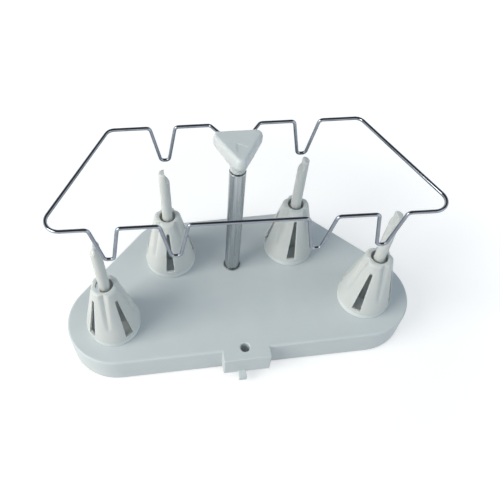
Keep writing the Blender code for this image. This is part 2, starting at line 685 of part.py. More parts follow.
def head_rings():
    """The heights and outlines of the head, from the neck up to the plate's edge."""
    neck_top = NECK_BOTTOM + NECK_LENGTH
    wall_low = HEAD_TOP - HEAD_WALL
    outline = head_outline(0.0)
    circle = [p.normalized() * NECK_RADIUS for p in outline]
    rings = [(NECK_BOTTOM, circle)]
    steps = 6
    for i in range(steps + 1):
        share = i / steps
        blend = share * share * (3 - 2 * share)
        ring = [a.lerp(b, blend) for a, b in zip(circle, outline)]
        rings.append((neck_top + (wall_low - neck_top) * share, ring))
    for share in (0.0, 1 / 3, 2 / 3, 1.0):
        angle = share * math.pi / 2
        drop = HEAD_EDGE_DROP * (1 - math.sin(angle))
        rings.append((HEAD_TOP - drop, head_outline(HEAD_EDGE * (1 - math.cos(angle)))))
    return rings


def wire_route():
    """The wire's corners from its left end to its right end, each with its bend radius."""
    left = [(-WIRE_END[0], WIRE_END[1], WIRE_Z, 0.0)]
    left.append((-WIRE_JOG_X, WIRE_BACK, WIRE_Z, JOG_BEND_RADIUS))
    left += notch(-BACK_NOTCH_X, WIRE_BACK, 1)
    left.append((-WIRE_BACK_HALF, WIRE_BACK, WIRE_Z, BACK_BEND_RADIUS))
    left.append((-WIRE_FRONT_HALF, -WIRE_FRONT, WIRE_Z, FRONT_BEND_RADIUS))
    left += notch(-OUTER_NOTCH_X, -WIRE_FRONT, -1)
    left += notch(-INNER_NOTCH_X, -WIRE_FRONT, -1)
    right = [(-x, y, z, radius) for x, y, z, radius in reversed(left)]
    return left + right


def notch(x, y, first):
    """The four corners of one V notch; first is 1 where the wire comes from +X."""
    low = WIRE_Z - NOTCH_DEPTH
    places = [(first * NOTCH_TOP_HALF, WIRE_Z), (first * NOTCH_BOTTOM_HALF, low),
              (-first * NOTCH_BOTTOM_HALF, low), (-first * NOTCH_TOP_HALF, WIRE_Z)]
    return [(x + across, y, z, NOTCH_BEND_RADIUS) for across, z in places]


def rounded(route):
    """The route's points with each corner replaced by an arc of its bend radius."""
    points = [Vector(route[0][:3])]
    for i in range(1, len(route) - 1):
        corner = Vector(route[i][:3])
        before = (Vector(route[i - 1][:3]) - corner)
        after = (Vector(route[i + 1][:3]) - corner)
        turn = math.pi - before.angle(after)
        back = route[i][3] * math.tan(turn / 2)
        back = min(back, before.length * 0.48, after.length * 0.48)
        radius = back / math.tan(turn / 2)
        start = corner + before.normalized() * back
        inward = (before.normalized() + after.normalized()).normalized()
        centre = corner + inward * (radius / math.cos(turn / 2))
        axis = (start - centre).cross(corner - centre).normalized()
        steps = max(2, round(turn / BEND_STEP))
        for k in range(steps + 1):
            points.append(centre + Matrix.Rotation(turn * k / steps, 3, axis) @ (start - centre))
    points.append(Vector(route[-1][:3]))
    return points


def make_head(axis, finish):
    """The guide head, lofted from its round neck to its triangular plate, with its sockets cut."""
    bm = bmesh.new()
    loops = []
    for height, outline in head_rings():
        loops.append([bm.verts.new((p.x, p.y, height)) for p in outline])
    count = len(loops[0])
    for lower, upper in zip(loops, loops[1:]):
        for i in range(count):
            j = (i + 1) % count
            bm.faces.new((lower[i], lower[j], upper[j], upper[i]))
    bm.faces.new(loops[-1])
    bm.faces.new(list(reversed(loops[0])))
    head = add_object("guide_head", mesh_from(bm, "guide_head"), finish, parent=axis)
    socket = cylinder("head_socket", (0.0, 0.0), MIDDLE_RADIUS + SLIDE_GAP,
                      NECK_BOTTOM - NECK_RADIUS, HEAD_SOCKET_TOP)
    bore = cylinder("head_bore", (0.0, 0.0), ROD_RADIUS + SEAT_GAP, NECK_BOTTOM, ROD_TOP + SEAT_GAP)
    cutters = [("head_socket", socket), ("head_bore", bore)]
    for side in (-1, 1):
        outer = Vector((side * WIRE_JOG_X, WIRE_BACK, WIRE_Z))
        inner = Vector((side * WIRE_END[0], WIRE_END[1], WIRE_Z))
        inner += (inner - outer).normalized() * SEAT_GAP
        bore = WIRE_RADIUS + SEAT_GAP
        drill = rod_between("wire_hole", inner, outer, bore, SMALL_SIDES)
        cutters.append((f"wire_hole_{side}", drill))
    mark = cylinder("mark", (0.0, 0.0), MARK_RADIUS, HEAD_TOP - MARK_DEPTH, HEAD_TOP + MARK_DEPTH, 3)
    mark.transform(Matrix.Rotation(-math.pi / 2, 4, "Z"))
    mark.transform(Matrix.Translation((0.0, -MARK_FORWARD, 0.0)))
    cutters.append(("mark", mark))
    for name, mesh in cutters:
        combine(head, add_cutter(name, mesh, axis), "DIFFERENCE")


def make_wire(axis, finish):
    """The wire guide: one bent wire with six V notches."""
    points = rounded(wire_route())
    curve = bpy.data.curves.new("wire_guide", "CURVE")
    curve.dimensions = "3D"
    curve.bevel_depth = WIRE_RADIUS
    curve.bevel_resolution = 2
    curve.use_fill_caps = True
    spline = curve.splines.new("POLY")
    spline.points.add(len(points) - 1)
    for point, place in zip(spline.points, points):
        point.co = (*place, 1.0)
    add_object("wire_guide", curve, finish, parent=axis)


def build():
    clear_scene()
    base_plastic = material("base_plastic", (0.62, 0.66, 0.66), 0.45)
    pale_plastic = material("pale_plastic", (0.78, 0.79, 0.76), 0.4)
    rubber = material("foot_rubber", (0.08, 0.08, 0.08), 0.8)
    tube_metal = material("tube_metal", (0.55, 0.57, 0.58), 0.3, 1.0)
    wire_metal = material("wire_metal", (0.72, 0.72, 0.74), 0.15, 1.0)
    screw_metal = material("screw_metal", (0.6, 0.6, 0.6), 0.35, 1.0)
    bush_plastic = material("bush_plastic", (0.2, 0.2, 0.21), 0.5)
    make_base(base_plastic)
    make_feet(rubber)
    make_pins(pale_plastic)
    make_screws(screw_metal)
    make_discs(base_plastic)
    make_cones(pale_plastic)
    make_fixed_post(tube_metal, bush_plastic)
    post_axis = add_empty("post_axis", POST_AXIS)
    middle_axis = add_empty("middle_slide", (0.0, 0.0, 0.0), parent=post_axis)
    rod_axis = add_empty("rod_slide", (0.0, 0.0, 0.0), parent=middle_axis)
    guide_axis = add_empty("guide_turn", (0.0, 0.0, 0.0), GUIDE_TURN, parent=rod_axis)
    make_middle(middle_axis, tube_metal, bush_plastic)
    make_rod(rod_axis, tube_metal, bush_plastic)
    make_head(guide_axis, pale_plastic)
    make_wire(guide_axis, wire_metal)


build()
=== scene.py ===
"""The looks of the thread spool stand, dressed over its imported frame.

Metres, +Z up, front of the stand towards -Y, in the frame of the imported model.
"""
import json
import math

import bmesh
import bpy
from mathutils import Matrix, Vector

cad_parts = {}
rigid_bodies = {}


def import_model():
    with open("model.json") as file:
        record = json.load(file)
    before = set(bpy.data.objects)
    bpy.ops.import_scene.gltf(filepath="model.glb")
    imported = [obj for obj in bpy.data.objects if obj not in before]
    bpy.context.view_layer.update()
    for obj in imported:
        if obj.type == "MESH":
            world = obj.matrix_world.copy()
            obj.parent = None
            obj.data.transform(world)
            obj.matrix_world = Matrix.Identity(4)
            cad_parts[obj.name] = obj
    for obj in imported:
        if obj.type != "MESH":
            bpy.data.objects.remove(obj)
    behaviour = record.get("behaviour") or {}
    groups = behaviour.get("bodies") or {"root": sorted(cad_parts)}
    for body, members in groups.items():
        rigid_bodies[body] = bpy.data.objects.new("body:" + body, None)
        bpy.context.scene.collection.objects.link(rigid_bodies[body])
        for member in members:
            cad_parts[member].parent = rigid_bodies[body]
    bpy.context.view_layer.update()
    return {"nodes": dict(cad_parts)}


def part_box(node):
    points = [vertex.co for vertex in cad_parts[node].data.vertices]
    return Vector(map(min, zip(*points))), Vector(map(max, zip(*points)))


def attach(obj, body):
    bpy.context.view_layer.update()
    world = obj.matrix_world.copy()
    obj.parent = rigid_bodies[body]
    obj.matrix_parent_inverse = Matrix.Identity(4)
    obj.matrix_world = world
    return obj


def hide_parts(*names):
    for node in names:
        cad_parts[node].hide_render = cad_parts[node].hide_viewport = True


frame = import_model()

QUARTERS = ("front_left", "front_right", "back_left", "back_right")


def centre(node):
    """The middle of a node's box."""
    low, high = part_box(node)
    return (low + high) / 2


# Places read from the frame
POST = Vector((centre("post_outer_tube").x, centre("post_outer_tube").y, 0.0))
PLATE_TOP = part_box("base")[1].z
SKIRT_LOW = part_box("base")[0].z
PINS = {name: centre(f"spool_pin_{name}") for name in QUARTERS}
FEET = {name: centre(f"foot_{name}") for name in QUARTERS}
HEAD_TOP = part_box("guide_head")[1].z
NECK_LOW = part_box("guide_head")[0].z
WIRE_RADIUS = 0.0012
WIRE_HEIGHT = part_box("wire_guide")[1].z - WIRE_RADIUS

# Clearance between neighbours, and the length below which a distance counts as nothing
GAP = 0.0003
NOTHING = 1e-7

# Base, measured from the post's axis
FRONT_REACH = 0.0775
BACK_REACH = 0.0492
FRONT_CORNER_X = 0.0957
FRONT_CORNER_RADIUS = 0.0382
BACK_CORNER_RADIUS = 0.0261
SIDE_ANGLE = math.radians(42.4)
TOP_FILLET = 0.0018
LOW_FILLET = 0.0004
PLATE_THICKNESS = 0.0026
SKIRT_THICKNESS = 0.0024
HOLLOW_FILLET = 0.0010
CORNER_STEPS = 40
BASE_SHARP = 24.0

# Under the plate
BOSS_DEPTH = 0.0131
PIN_BOSS_RADIUS = 0.0075
POST_BOSS_RADIUS = 0.0100
FOOT_BOSS_RADIUS = 0.0085
FOOT_BOSS_LIFT = 0.0010
SOCKET_DEPTH = 0.0090
RIB_THICKNESS = 0.0016
RIB_DEPTH = 0.0073

# Front tab
TAB_WIDTH = 0.0360
TAB_HEIGHT = 0.0200
TAB_REACH = 0.0082
TAB_WALL = 0.0024
TAB_X = -0.0007
TAB_EDGE = 0.0008
TAB_CORNER = 0.0013
TAB_HOLE_X = -0.0014
TAB_HOLE_RADIUS = 0.0036
TAB_HOLE_INSET = 0.0018
TAB_BOSS_WALL = 0.0024
TAB_HOLE_CHAMFER = 0.0005
TONGUE_X = -0.0045
TONGUE_WIDTH = 0.0060
TONGUE_REACH = 0.0063
TONGUE_THICKNESS = 0.0046
TONGUE_DROP = 0.0022
TONGUE_EDGE = 0.0006

# Feet and screws
FOOT_RADIUS = 0.0075
FOOT_EDGE = 0.0012
PIN_SCREW_RADIUS = 0.0013
PIN_SCREW_REACH = 0.0095
POST_SCREW_RADIUS = 0.0020

# Spool pins; their turns are in degrees
PIN_HEIGHT = 0.1016
PIN_FOOT_RADIUS = 0.0044
PIN_NECK_RADIUS = 0.0039
PIN_NECK_HEIGHT = 0.0620
PIN_TOP_RADIUS = 0.0036
PIN_STEP = 0.0092
PIN_STEP_SLOPE = 0.0030
PIN_STEP_OFFSET = 0.0004
PIN_STEP_FILLET = 0.0015
PIN_DOME = 0.0012
PIN_EDGE = 0.0003
PIN_TURNS = {"front_left": 180.0, "front_right": 180.0, "back_left": 0.0, "back_right": 180.0}

# Seat discs and cones; the cones' turns are in degrees
DISC_RADIUS = 0.0199
DISC_HEIGHT = 0.0050
DISC_FILLET = 0.0009
CONE_RADIUS = 0.0203
CONE_HEIGHT = 0.0498
CONE_TOP_RADIUS = 0.0102
CONE_MOUTH_RADIUS = 0.0061
CONE_SHOULDER = 0.0028
CONE_WALL = 0.0018
CONE_TOP_WALL = 0.0024
CONE_EDGE = 0.0004
CONE_EDGE_STEPS = 4
CONE_SHOULDER_STEPS = 10
CONE_ROWS = 36
WINDOW_LOW = 0.0032
WINDOW_HIGH = 0.0415
WINDOW_LOW_WIDTH = 0.0066
WINDOW_HIGH_WIDTH = 0.0020
WINDOW_TOP_EDGE = 0.0011
WINDOW_LOW_EDGE = 0.0004
FLUTE_END = 0.0130
FLUTE_LOW = 0.0170
FLUTE_LOW_HALF = 0.0023
FLUTE_LOW_DEPTH = 0.0010
FLUTE_TOP_HALF = 0.0035
FLUTE_TOP_DEPTH = 0.0022
FLUTE_INNER_SHARE = 0.7
FLUTE_FLOOR = 0.0004
CONE_TURNS = {"front_left": -53.0, "front_right": -37.0, "back_left": -5.0, "back_right": -8.0}

# Telescopic post
POST_RADIUS = 0.0058
MIDDLE_RADIUS = 0.0042
ROD_RADIUS = 0.0024
TUBE_WALL = 0.0005
LIP_HEIGHT = 0.0020
TUBE_EDGE = 0.0002
FOOT_RING_WIDTH = 0.0008
FOOT_RING_HEIGHT = 0.0010

# Guide head
NECK_RADIUS = 0.0052
NECK_LENGTH = 0.0012
NECK_EDGE = 0.0003
HEAD_BACK = 0.0132
HEAD_HALF_WIDTH = 0.0190
HEAD_FRONT = 0.0215
HEAD_CORNER_RADIUS = 0.0042
HEAD_WALL = 0.0058
HEAD_EDGE = 0.0024
HEAD_EDGE_DROP = 0.0038
HEAD_RINGS = 14
HEAD_EDGE_RINGS = 8
HEAD_CORNER_STEPS = 14
HEAD_SIDE_START = 0.32
HEAD_SIDE_SHARE = 0.36
HEAD_SIDE_STEPS = 7
HEAD_SHARP = 28.0
MARK_RADIUS = 0.0048
MARK_DEPTH = 0.0003
MARK_FORWARD = 0.0038

# Wire guide, in the head's own directions
WIRE_FRONT = 0.0573
WIRE_BACK = 0.0263
WIRE_FRONT_HALF = 0.1240
WIRE_BACK_HALF = 0.0842
WIRE_JOG_X = 0.0168
WIRE_END = (0.0050, 0.0095)
FRONT_BEND_RADIUS = 0.0105
BACK_BEND_RADIUS = 0.0060
NOTCH_BEND_RADIUS = 0.0028
JOG_BEND_RADIUS = 0.0032
NOTCH_DEPTH = 0.0299
NOTCH_TOP_HALF = 0.0085
NOTCH_BOTTOM_HALF = 0.0029
OUTER_NOTCH_X = 0.0851
INNER_NOTCH_X = 0.0437
BACK_NOTCH_X = 0.0485
GUIDE_TURN = math.radians(-3.14)
BEND_STEP = math.radians(7.0)
WIRE_RINGS = 6

# The largest shares of a straight that a corner's arc may use up
OUTLINE_SHARE = 0.49
WIRE_SHARE = 0.48

# Angle in degrees above which an edge is shaded sharp, and sides of round pieces
SHARP = 32.0
FINE_SIDES = 128
ROUND_SIDES = 64
SMALL_SIDES = 32

# Camera, fitted to the photograph: angles in degrees, distance in metres, lens and sensor in
# millimetres, shift in image widths
CAMERA_AZIMUTH = -5.89
CAMERA_ELEVATION = 54.25
CAMERA_ROLL = -0.96
CAMERA_DISTANCE = 0.40347
CAMERA_LENS = 39.92
SENSOR_WIDTH = 36.0
CAMERA_SHIFT = (0.1, 0.004)
CAMERA_TARGET = POST + Vector((-0.02834, -0.02044, PLATE_TOP + 0.050))
CAMERA_CLIP = 0.01

# Studio light. The world lights the stand from all sides. Rays from glossy surfaces see a ceiling
# that starts to darken and is darkest at these sines of the height above the horizon.
WORLD_COLOUR = (0.80, 0.91, 1.0)
WORLD_LEVEL = 0.44
CEILING_START = 0.38
CEILING_END = 0.62
CEILING_SHADE = 0.92
WHITE = (1.0, 1.0, 1.0)

# Floor: its own light rises from FLOOR_GLOW to 1 between two distances from its middle
FLOOR_RADIUS = 3.0
FLOOR_SIDES = 96
FLOOR_COLOUR = (0.62, 0.62, 0.62)
FLOOR_GLOW = 0.52
GLOW_START = 0.16
GLOW_END = 0.50

# Lamps: place, size of the square, power in watts, colour
KEY_LAMP = ((-1.64, -0.53, 1.05), 1.26, 32.6, (1.0, 0.970, 0.900))
FILL_LAMP = ((0.9, -0.6, 0.6), 0.9, 2.4, (0.85, 0.94, 1.0))

# Colours, each a pair that the material's noise runs between
BASE_COLOURS = ((0.620, 0.668, 0.682), (0.645, 0.690, 0.700))
PALE_COLOURS = ((0.650, 0.675, 0.664), (0.675, 0.694, 0.678))
HEAD_COLOURS = ((0.660, 0.695, 0.702), (0.680, 0.712, 0.716))
DISC_COLOURS = ((0.735, 0.770, 0.772), (0.755, 0.788, 0.786))
BUSH_COLOURS = ((0.030, 0.030, 0.033), (0.042, 0.042, 0.045))
TUBE_COLOURS = ((0.355, 0.387, 0.408), (0.530, 0.562, 0.583))
# The wire's colours are partly the metal's own colour and partly painted dark reflection: they are
# set darker than bare bright metal to stand in for the dark surroundings that the wire mirrors.
WIRE_COLOURS_WITH_PAINTED_REFLECTION = ((0.225, 0.250, 0.292), (0.285, 0.310, 0.356))
SCREW_COLOURS = ((0.45, 0.45, 0.44), (0.58, 0.57, 0.54))
RUBBER_COLOURS = ((0.022, 0.022, 0.023), (0.07, 0.07, 0.07))

# Roughness of each finish, depth of the plastics' grain, and how deep light goes into pale plastic
BASE_ROUGHNESS = 0.46
PALE_ROUGHNESS = 0.38
DISC_ROUGHNESS = 0.42
BUSH_ROUGHNESS = 0.50
TUBE_ROUGHNESS = 0.30
WIRE_ROUGHNESS = 0.10
SCREW_ROUGHNESS = 0.35
COARSE_GRAIN = 0.00003
FINE_GRAIN = 0.00002
PALE_DEPTH = 0.0020
PALE_SPREAD = (1.0, 0.9, 0.8)

# Skin of the plastics: features per metre of the colour, gloss, sink marks and grain, the change of
# roughness, and the height of the sink marks
CLOUD_SCALE = 55.0
GLOSS_SCALE = 420.0
GLOSS_CHANGE = 0.06
SINK_SCALE = 160.0
SINK_HEIGHT = 0.00004
GRAIN_SCALE = 2600.0
PLASTIC_SPECULAR = 0.45

# Streaks in the metals: features per metre, their height, their stretch along the tubes, and the
# factors on the roughness
STREAK_SCALE = 900.0
WIRE_STREAK_SCALE = 250.0
STREAK_HEIGHT = 0.00001
DRAWN = (1.0, 1.0, 0.02)
EVEN = (1.0, 1.0, 1.0)
METAL_GLOSS = (0.8, 1.25)

# Skin of the rubber: features per metre of the dust, gloss and pebbles, their height, and the
# lowest and highest roughness
DUST_SCALE = 300.0
RUBBER_GLOSS_SCALE = 800.0
PEBBLE_SCALE = 2200.0
PEBBLE_HEIGHT = 0.00008
RUBBER_ROUGHNESS = (0.7, 0.9)

CUTTERS = bpy.data.collections.new("cutters")
bpy.context.scene.collection.children.link(CUTTERS)


def mesh_from(bm, name):
    """A mesh from bm, which is freed, with its faces turned outwards."""
    bmesh.ops.recalc_face_normals(bm, faces=bm.faces)
    mesh = bpy.data.meshes.new(name)
    bm.to_mesh(mesh)
    bm.free()
    return mesh


def add_cutter(name, mesh):
    """A helper object in the cutters collection, which carved() or make_wire() removes again."""
    made = bpy.data.objects.new(name, mesh)
    CUTTERS.objects.link(made)
    return made


def carved(name, solid, steps):
    """The solid joined with or cut by each (operation, mesh), as one new mesh."""
    draft = add_cutter(name, solid)
    for i, (operation, mesh) in enumerate(steps):
        step = draft.modifiers.new(f"step_{i}", "BOOLEAN")
        step.operation = operation
        step.object = add_cutter(f"{name}_{i}", mesh)
        step.solver = "EXACT"
    graph = bpy.context.evaluated_depsgraph_get()
    mesh = bpy.data.meshes.new_from_object(draft.evaluated_get(graph))
    mesh.name = name
    for made in list(CUTTERS.objects):
        bpy.data.objects.remove(made, do_unlink=True)
    return mesh


def piece(name, mesh, node, body, finish, place=(0.0, 0.0, 0.0), turn=0.0, sharp=SHARP):
    """Adds a finished piece that stands for a node and rides on its body."""
    made = bpy.data.objects.new(name, mesh)
    made.location = place
    made.rotation_euler = (0.0, 0.0, turn)
    bpy.context.scene.collection.objects.link(made)
    mesh.shade_smooth()
    mesh.set_sharp_from_angle(angle=math.radians(sharp))
    even = made.modifiers.new("even_shading", "WEIGHTED_NORMAL")
    even.keep_sharp = True
    if not mesh.materials:
        mesh.materials.append(finish)
    bpy.context.view_layer.update()
    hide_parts(node)
    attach(made, body)


def arc(middle, radius, start, end, steps):
    """Points of an arc in a plane, both ends included."""
    points = []
    for i in range(steps + 1):
        angle = start + (end - start) * i / steps
        points.append((middle[0] + radius * math.cos(angle), middle[1] + radius * math.sin(angle)))
    return points


def softened(corners, closed, steps=4):
    """A flat outline of (a, b, radius) corners with each corner replaced by an arc."""
    count = len(corners)
    points = []
    for i, (a, b, radius) in enumerate(corners):
        if radius <= 0.0 or (not closed and i in (0, count - 1)):
            points.append((a, b))
            continue
        corner = Vector((a, b))
        before = Vector(corners[i - 1][:2]) - corner
        after = Vector(corners[(i + 1) % count][:2]) - corner
        half = before.angle(after) / 2
        reach = min(radius / math.tan(half), before.length * OUTLINE_SHARE,
                    after.length * OUTLINE_SHARE)
        fitted = reach * math.tan(half)
        inward = (before.normalized() + after.normalized()).normalized()
        middle = corner + inward * (fitted / math.sin(half))
        start = corner + before.normalized() * reach - middle
        sweep = start.angle_signed(corner + after.normalized() * reach - middle)
        for k in range(steps + 1):
            turned_by = Matrix.Rotation(-sweep * k / steps, 2)
            points.append(tuple(middle + turned_by @ start))
    return points


def turned(name, profile, sides, closed, reshape=None):
    """A turned shape from (radius, height) points; reshape may change each point's radius."""
    bm = bmesh.new()
    rings = []
    for index, (radius, height) in enumerate(profile):
        if radius < NOTHING:
            rings.append([bm.verts.new((0.0, 0.0, height))])
            continue
        ring = []
        for i in range(sides):
            angle = 2 * math.pi * i / sides
            fitted = radius if reshape is None else reshape(index, radius, height, angle)
            ring.append(bm.verts.new((fitted * math.cos(angle), fitted * math.sin(angle), height)))
        rings.append(ring)
    pairs = list(zip(rings, rings[1:]))
    if closed:
        pairs.append((rings[-1], rings[0]))
    for one, two in pairs:
        for i in range(sides):
            j = (i + 1) % sides
            if len(one) == 1:
                bm.faces.new((one[0], two[i], two[j]))
            elif len(two) == 1:
                bm.faces.new((one[i], two[0], one[j]))
            else:
                bm.faces.new((one[i], two[i], two[j], one[j]))
    return mesh_from(bm, name)


def cylinder(place, radius, low, high, sides=ROUND_SIDES):
    """A closed upright cylinder from height low to height high."""
    bm = bmesh.new()
    middle = Matrix.Translation((place[0], place[1], (low + high) / 2))
    bmesh.ops.create_cone(bm, cap_ends=True, segments=sides, radius1=radius, radius2=radius,
                          depth=high - low, matrix=middle)
    return mesh_from(bm, "cylinder")


def rod_between(start, end, radius):
    """A closed cylinder along the line from start to end."""
    line = end - start
    turn = line.to_track_quat("Z", "Y").to_matrix().to_4x4()
    place = Matrix.Translation((start + end) / 2) @ turn
    bm = bmesh.new()
    bmesh.ops.create_cone(bm, cap_ends=True, segments=SMALL_SIDES, radius1=radius,
                          radius2=radius, depth=line.length, matrix=place)
    return mesh_from(bm, "rod")


def box(low, high, turn=0.0, pivot=(0.0, 0.0, 0.0), edge=0.0):
    """A closed box between two corners, its edges rounded, turned about pivot's upright line."""
    low, high = Vector(low), Vector(high)
    bm = bmesh.new()
    bmesh.ops.create_cube(bm, size=1.0)
    bmesh.ops.scale(bm, vec=high - low, verts=bm.verts)
    bmesh.ops.translate(bm, vec=(low + high) / 2, verts=bm.verts)
    if edge > 0.0:
        bmesh.ops.bevel(bm, geom=bm.edges[:], offset=edge, segments=3, profile=0.5,
                        affect="EDGES")
    bmesh.ops.rotate(bm, cent=pivot, matrix=Matrix.Rotation(turn, 3, "Z"), verts=bm.verts)
    return mesh_from(bm, "box")


def prism(outline, start, end):
    """A prism from an outline in X and Z, between two places along Y."""
    bm = bmesh.new()
    face = bm.faces.new([bm.verts.new((x, start, z)) for x, z in outline])
    grown = bmesh.ops.extrude_face_region(bm, geom=[face])
    moved = [item for item in grown["geom"] if isinstance(item, bmesh.types.BMVert)]
    bmesh.ops.translate(bm, vec=(0.0, end - start, 0.0), verts=moved)
    return bm


def slab(outline, low, high, fillet=0.0, low_fillet=0.0):
    """An upright prism on an outline, with its upper and lower edges rounded."""
    bm = bmesh.new()
    floor = bm.faces.new([bm.verts.new((x, y, low)) for x, y in outline])
    raised = bmesh.ops.extrude_face_region(bm, geom=[floor])
    top = [item for item in raised["geom"] if isinstance(item, bmesh.types.BMVert)]
    bmesh.ops.translate(bm, vec=(0.0, 0.0, high - low), verts=top)
    for height, size, segments in ((high, fillet, 6), (low, low_fillet, 2)):
        if size > 0.0:
            rim = [e for e in bm.edges if all(abs(v.co.z - height) < NOTHING for v in e.verts)]
            bmesh.ops.bevel(bm, geom=rim, offset=size, segments=segments, profile=0.5,
                            affect="EDGES")
    return mesh_from(bm, "slab")


def base_outline(inset):
    """The base's rounded trapezoid, moved inwards by inset, counter-clockwise from the front."""
    normal = Vector((math.cos(SIDE_ANGLE), math.sin(SIDE_ANGLE)))
    front = Vector((FRONT_CORNER_X, FRONT_CORNER_RADIUS - FRONT_REACH))
    back_y = BACK_REACH - BACK_CORNER_RADIUS
    reach = front.dot(normal) + FRONT_CORNER_RADIUS - BACK_CORNER_RADIUS
    back = Vector(((reach - back_y * normal.y) / normal.x, back_y))
    right = arc(front, FRONT_CORNER_RADIUS - inset, -math.pi / 2, SIDE_ANGLE, CORNER_STEPS)
    right += arc(back, BACK_CORNER_RADIUS - inset, SIDE_ANGLE, math.pi / 2, CORNER_STEPS // 2)
    left = [(-x, y) for x, y in reversed(right)]
    return [(POST.x + x, POST.y + y) for x, y in right + left]


def base_additions():
    """The tab, its tongue and the bosses and ribs under the plate, to join to the base."""
    plate_middle = PLATE_TOP - PLATE_THICKNESS / 2
    boss_low = PLATE_TOP - BOSS_DEPTH
    tab_low = PLATE_TOP - TAB_HEIGHT
    edge = POST.y - FRONT_REACH
    front = edge - TAB_REACH
    back = edge + TOP_FILLET + 2 * TAB_EDGE
    left = TAB_X - TAB_WIDTH / 2
    right = TAB_X + TAB_WIDTH / 2
    corners = [(left, front, TAB_CORNER), (right, front, TAB_CORNER), (right, back, 0.0),
               (left, back, 0.0)]
    parts = [slab(softened(corners, True), tab_low, PLATE_TOP, TAB_EDGE)]
    hole = (TAB_HOLE_X, edge + TAB_HOLE_INSET)
    parts.append(cylinder(hole, TAB_HOLE_RADIUS + TAB_BOSS_WALL, tab_low, plate_middle))
    low = (TONGUE_X - TONGUE_WIDTH / 2, front - TONGUE_REACH, tab_low - TONGUE_DROP)
    high = (TONGUE_X + TONGUE_WIDTH / 2, front + TAB_WALL / 2, low[2] + TONGUE_THICKNESS)
    parts.append(box(low, high, edge=TONGUE_EDGE))
    for place in PINS.values():
        line = Vector((place.x, place.y, 0.0)) - POST
        start = POST_BOSS_RADIUS - RIB_THICKNESS
        end = line.length - PIN_BOSS_RADIUS + RIB_THICKNESS
        low = (POST.x + start, POST.y - RIB_THICKNESS / 2, PLATE_TOP - RIB_DEPTH)
        high = (POST.x + end, POST.y + RIB_THICKNESS / 2, plate_middle)
        parts.append(box(low, high, math.atan2(line.y, line.x), POST))
        parts.append(cylinder(place, PIN_BOSS_RADIUS, boss_low, plate_middle))
    parts.append(cylinder(POST, POST_BOSS_RADIUS, boss_low, plate_middle))
    for place in FEET.values():
        parts.append(cylinder(place, FOOT_BOSS_RADIUS, SKIRT_LOW + FOOT_BOSS_LIFT, plate_middle))
    return parts


def base_cuts():
    """The tab's hole and pockets, and the sockets and screw holes in the bosses."""
    edge = POST.y - FRONT_REACH
    profile = [(0.0, PLATE_TOP + TAB_HOLE_CHAMFER),
               (TAB_HOLE_RADIUS + 2 * TAB_HOLE_CHAMFER, PLATE_TOP + TAB_HOLE_CHAMFER),
               (TAB_HOLE_RADIUS, PLATE_TOP - TAB_HOLE_CHAMFER), (TAB_HOLE_RADIUS, 0.0), (0.0, 0.0)]
    drill = turned("tab_drill", profile, ROUND_SIDES, False)
    drill.transform(Matrix.Translation((TAB_HOLE_X, edge + TAB_HOLE_INSET, 0.0)))
    parts = [drill]
    for side in (-1, 1):
        near = TAB_HOLE_X + side * (TAB_HOLE_RADIUS + TAB_BOSS_WALL)
        far = TAB_X + side * (TAB_WIDTH / 2 - TAB_WALL)
        low = (min(near, far), edge - TAB_REACH + TAB_WALL, 0.0)
        high = (max(near, far), edge, PLATE_TOP - PLATE_THICKNESS)
        parts.append(box(low, high))
    floor = PLATE_TOP - SOCKET_DEPTH
    sockets = [(place, PIN_FOOT_RADIUS, PIN_SCREW_RADIUS) for place in PINS.values()]
    sockets.append((POST, POST_RADIUS, POST_SCREW_RADIUS))
    for place, radius, screw in sockets:
        parts.append(cylinder(place, radius + GAP, floor, PLATE_TOP + radius))
        parts.append(cylinder(place, screw + GAP, 0.0, floor + screw, SMALL_SIDES))
    return parts


def make_base(finish):
    """The hollow base with its tab, tongue, bosses, ribs and holes, as one moulding."""
    solid = slab(base_outline(0.0), SKIRT_LOW, PLATE_TOP, TOP_FILLET, LOW_FILLET)
    hollow = slab(base_outline(SKIRT_THICKNESS), 0.0, PLATE_TOP - PLATE_THICKNESS, HOLLOW_FILLET)
    steps = [("DIFFERENCE", hollow)]
    steps += [("UNION", mesh) for mesh in base_additions()]
    steps += [("DIFFERENCE", mesh) for mesh in base_cuts()]
    mesh = carved("base_moulding", solid, steps)
    piece("base_moulding", mesh, "base", "stand", finish,
          sharp=BASE_SHARP)


def make_feet(finish):
    """The four rubber feet."""
    top = SKIRT_LOW + FOOT_BOSS_LIFT - GAP
    corners = [(0.0, top, 0.0), (FOOT_RADIUS, top, FOOT_EDGE / 4), (FOOT_RADIUS, 0.0, FOOT_EDGE),
               (0.0, 0.0, 0.0)]
    mesh = turned("rubber_foot", softened(corners, False), ROUND_SIDES, False)
    for name, place in FEET.items():
        piece(f"rubber_foot_{name}", mesh, f"foot_{name}", "stand", finish,
              (place.x, place.y, 0.0))


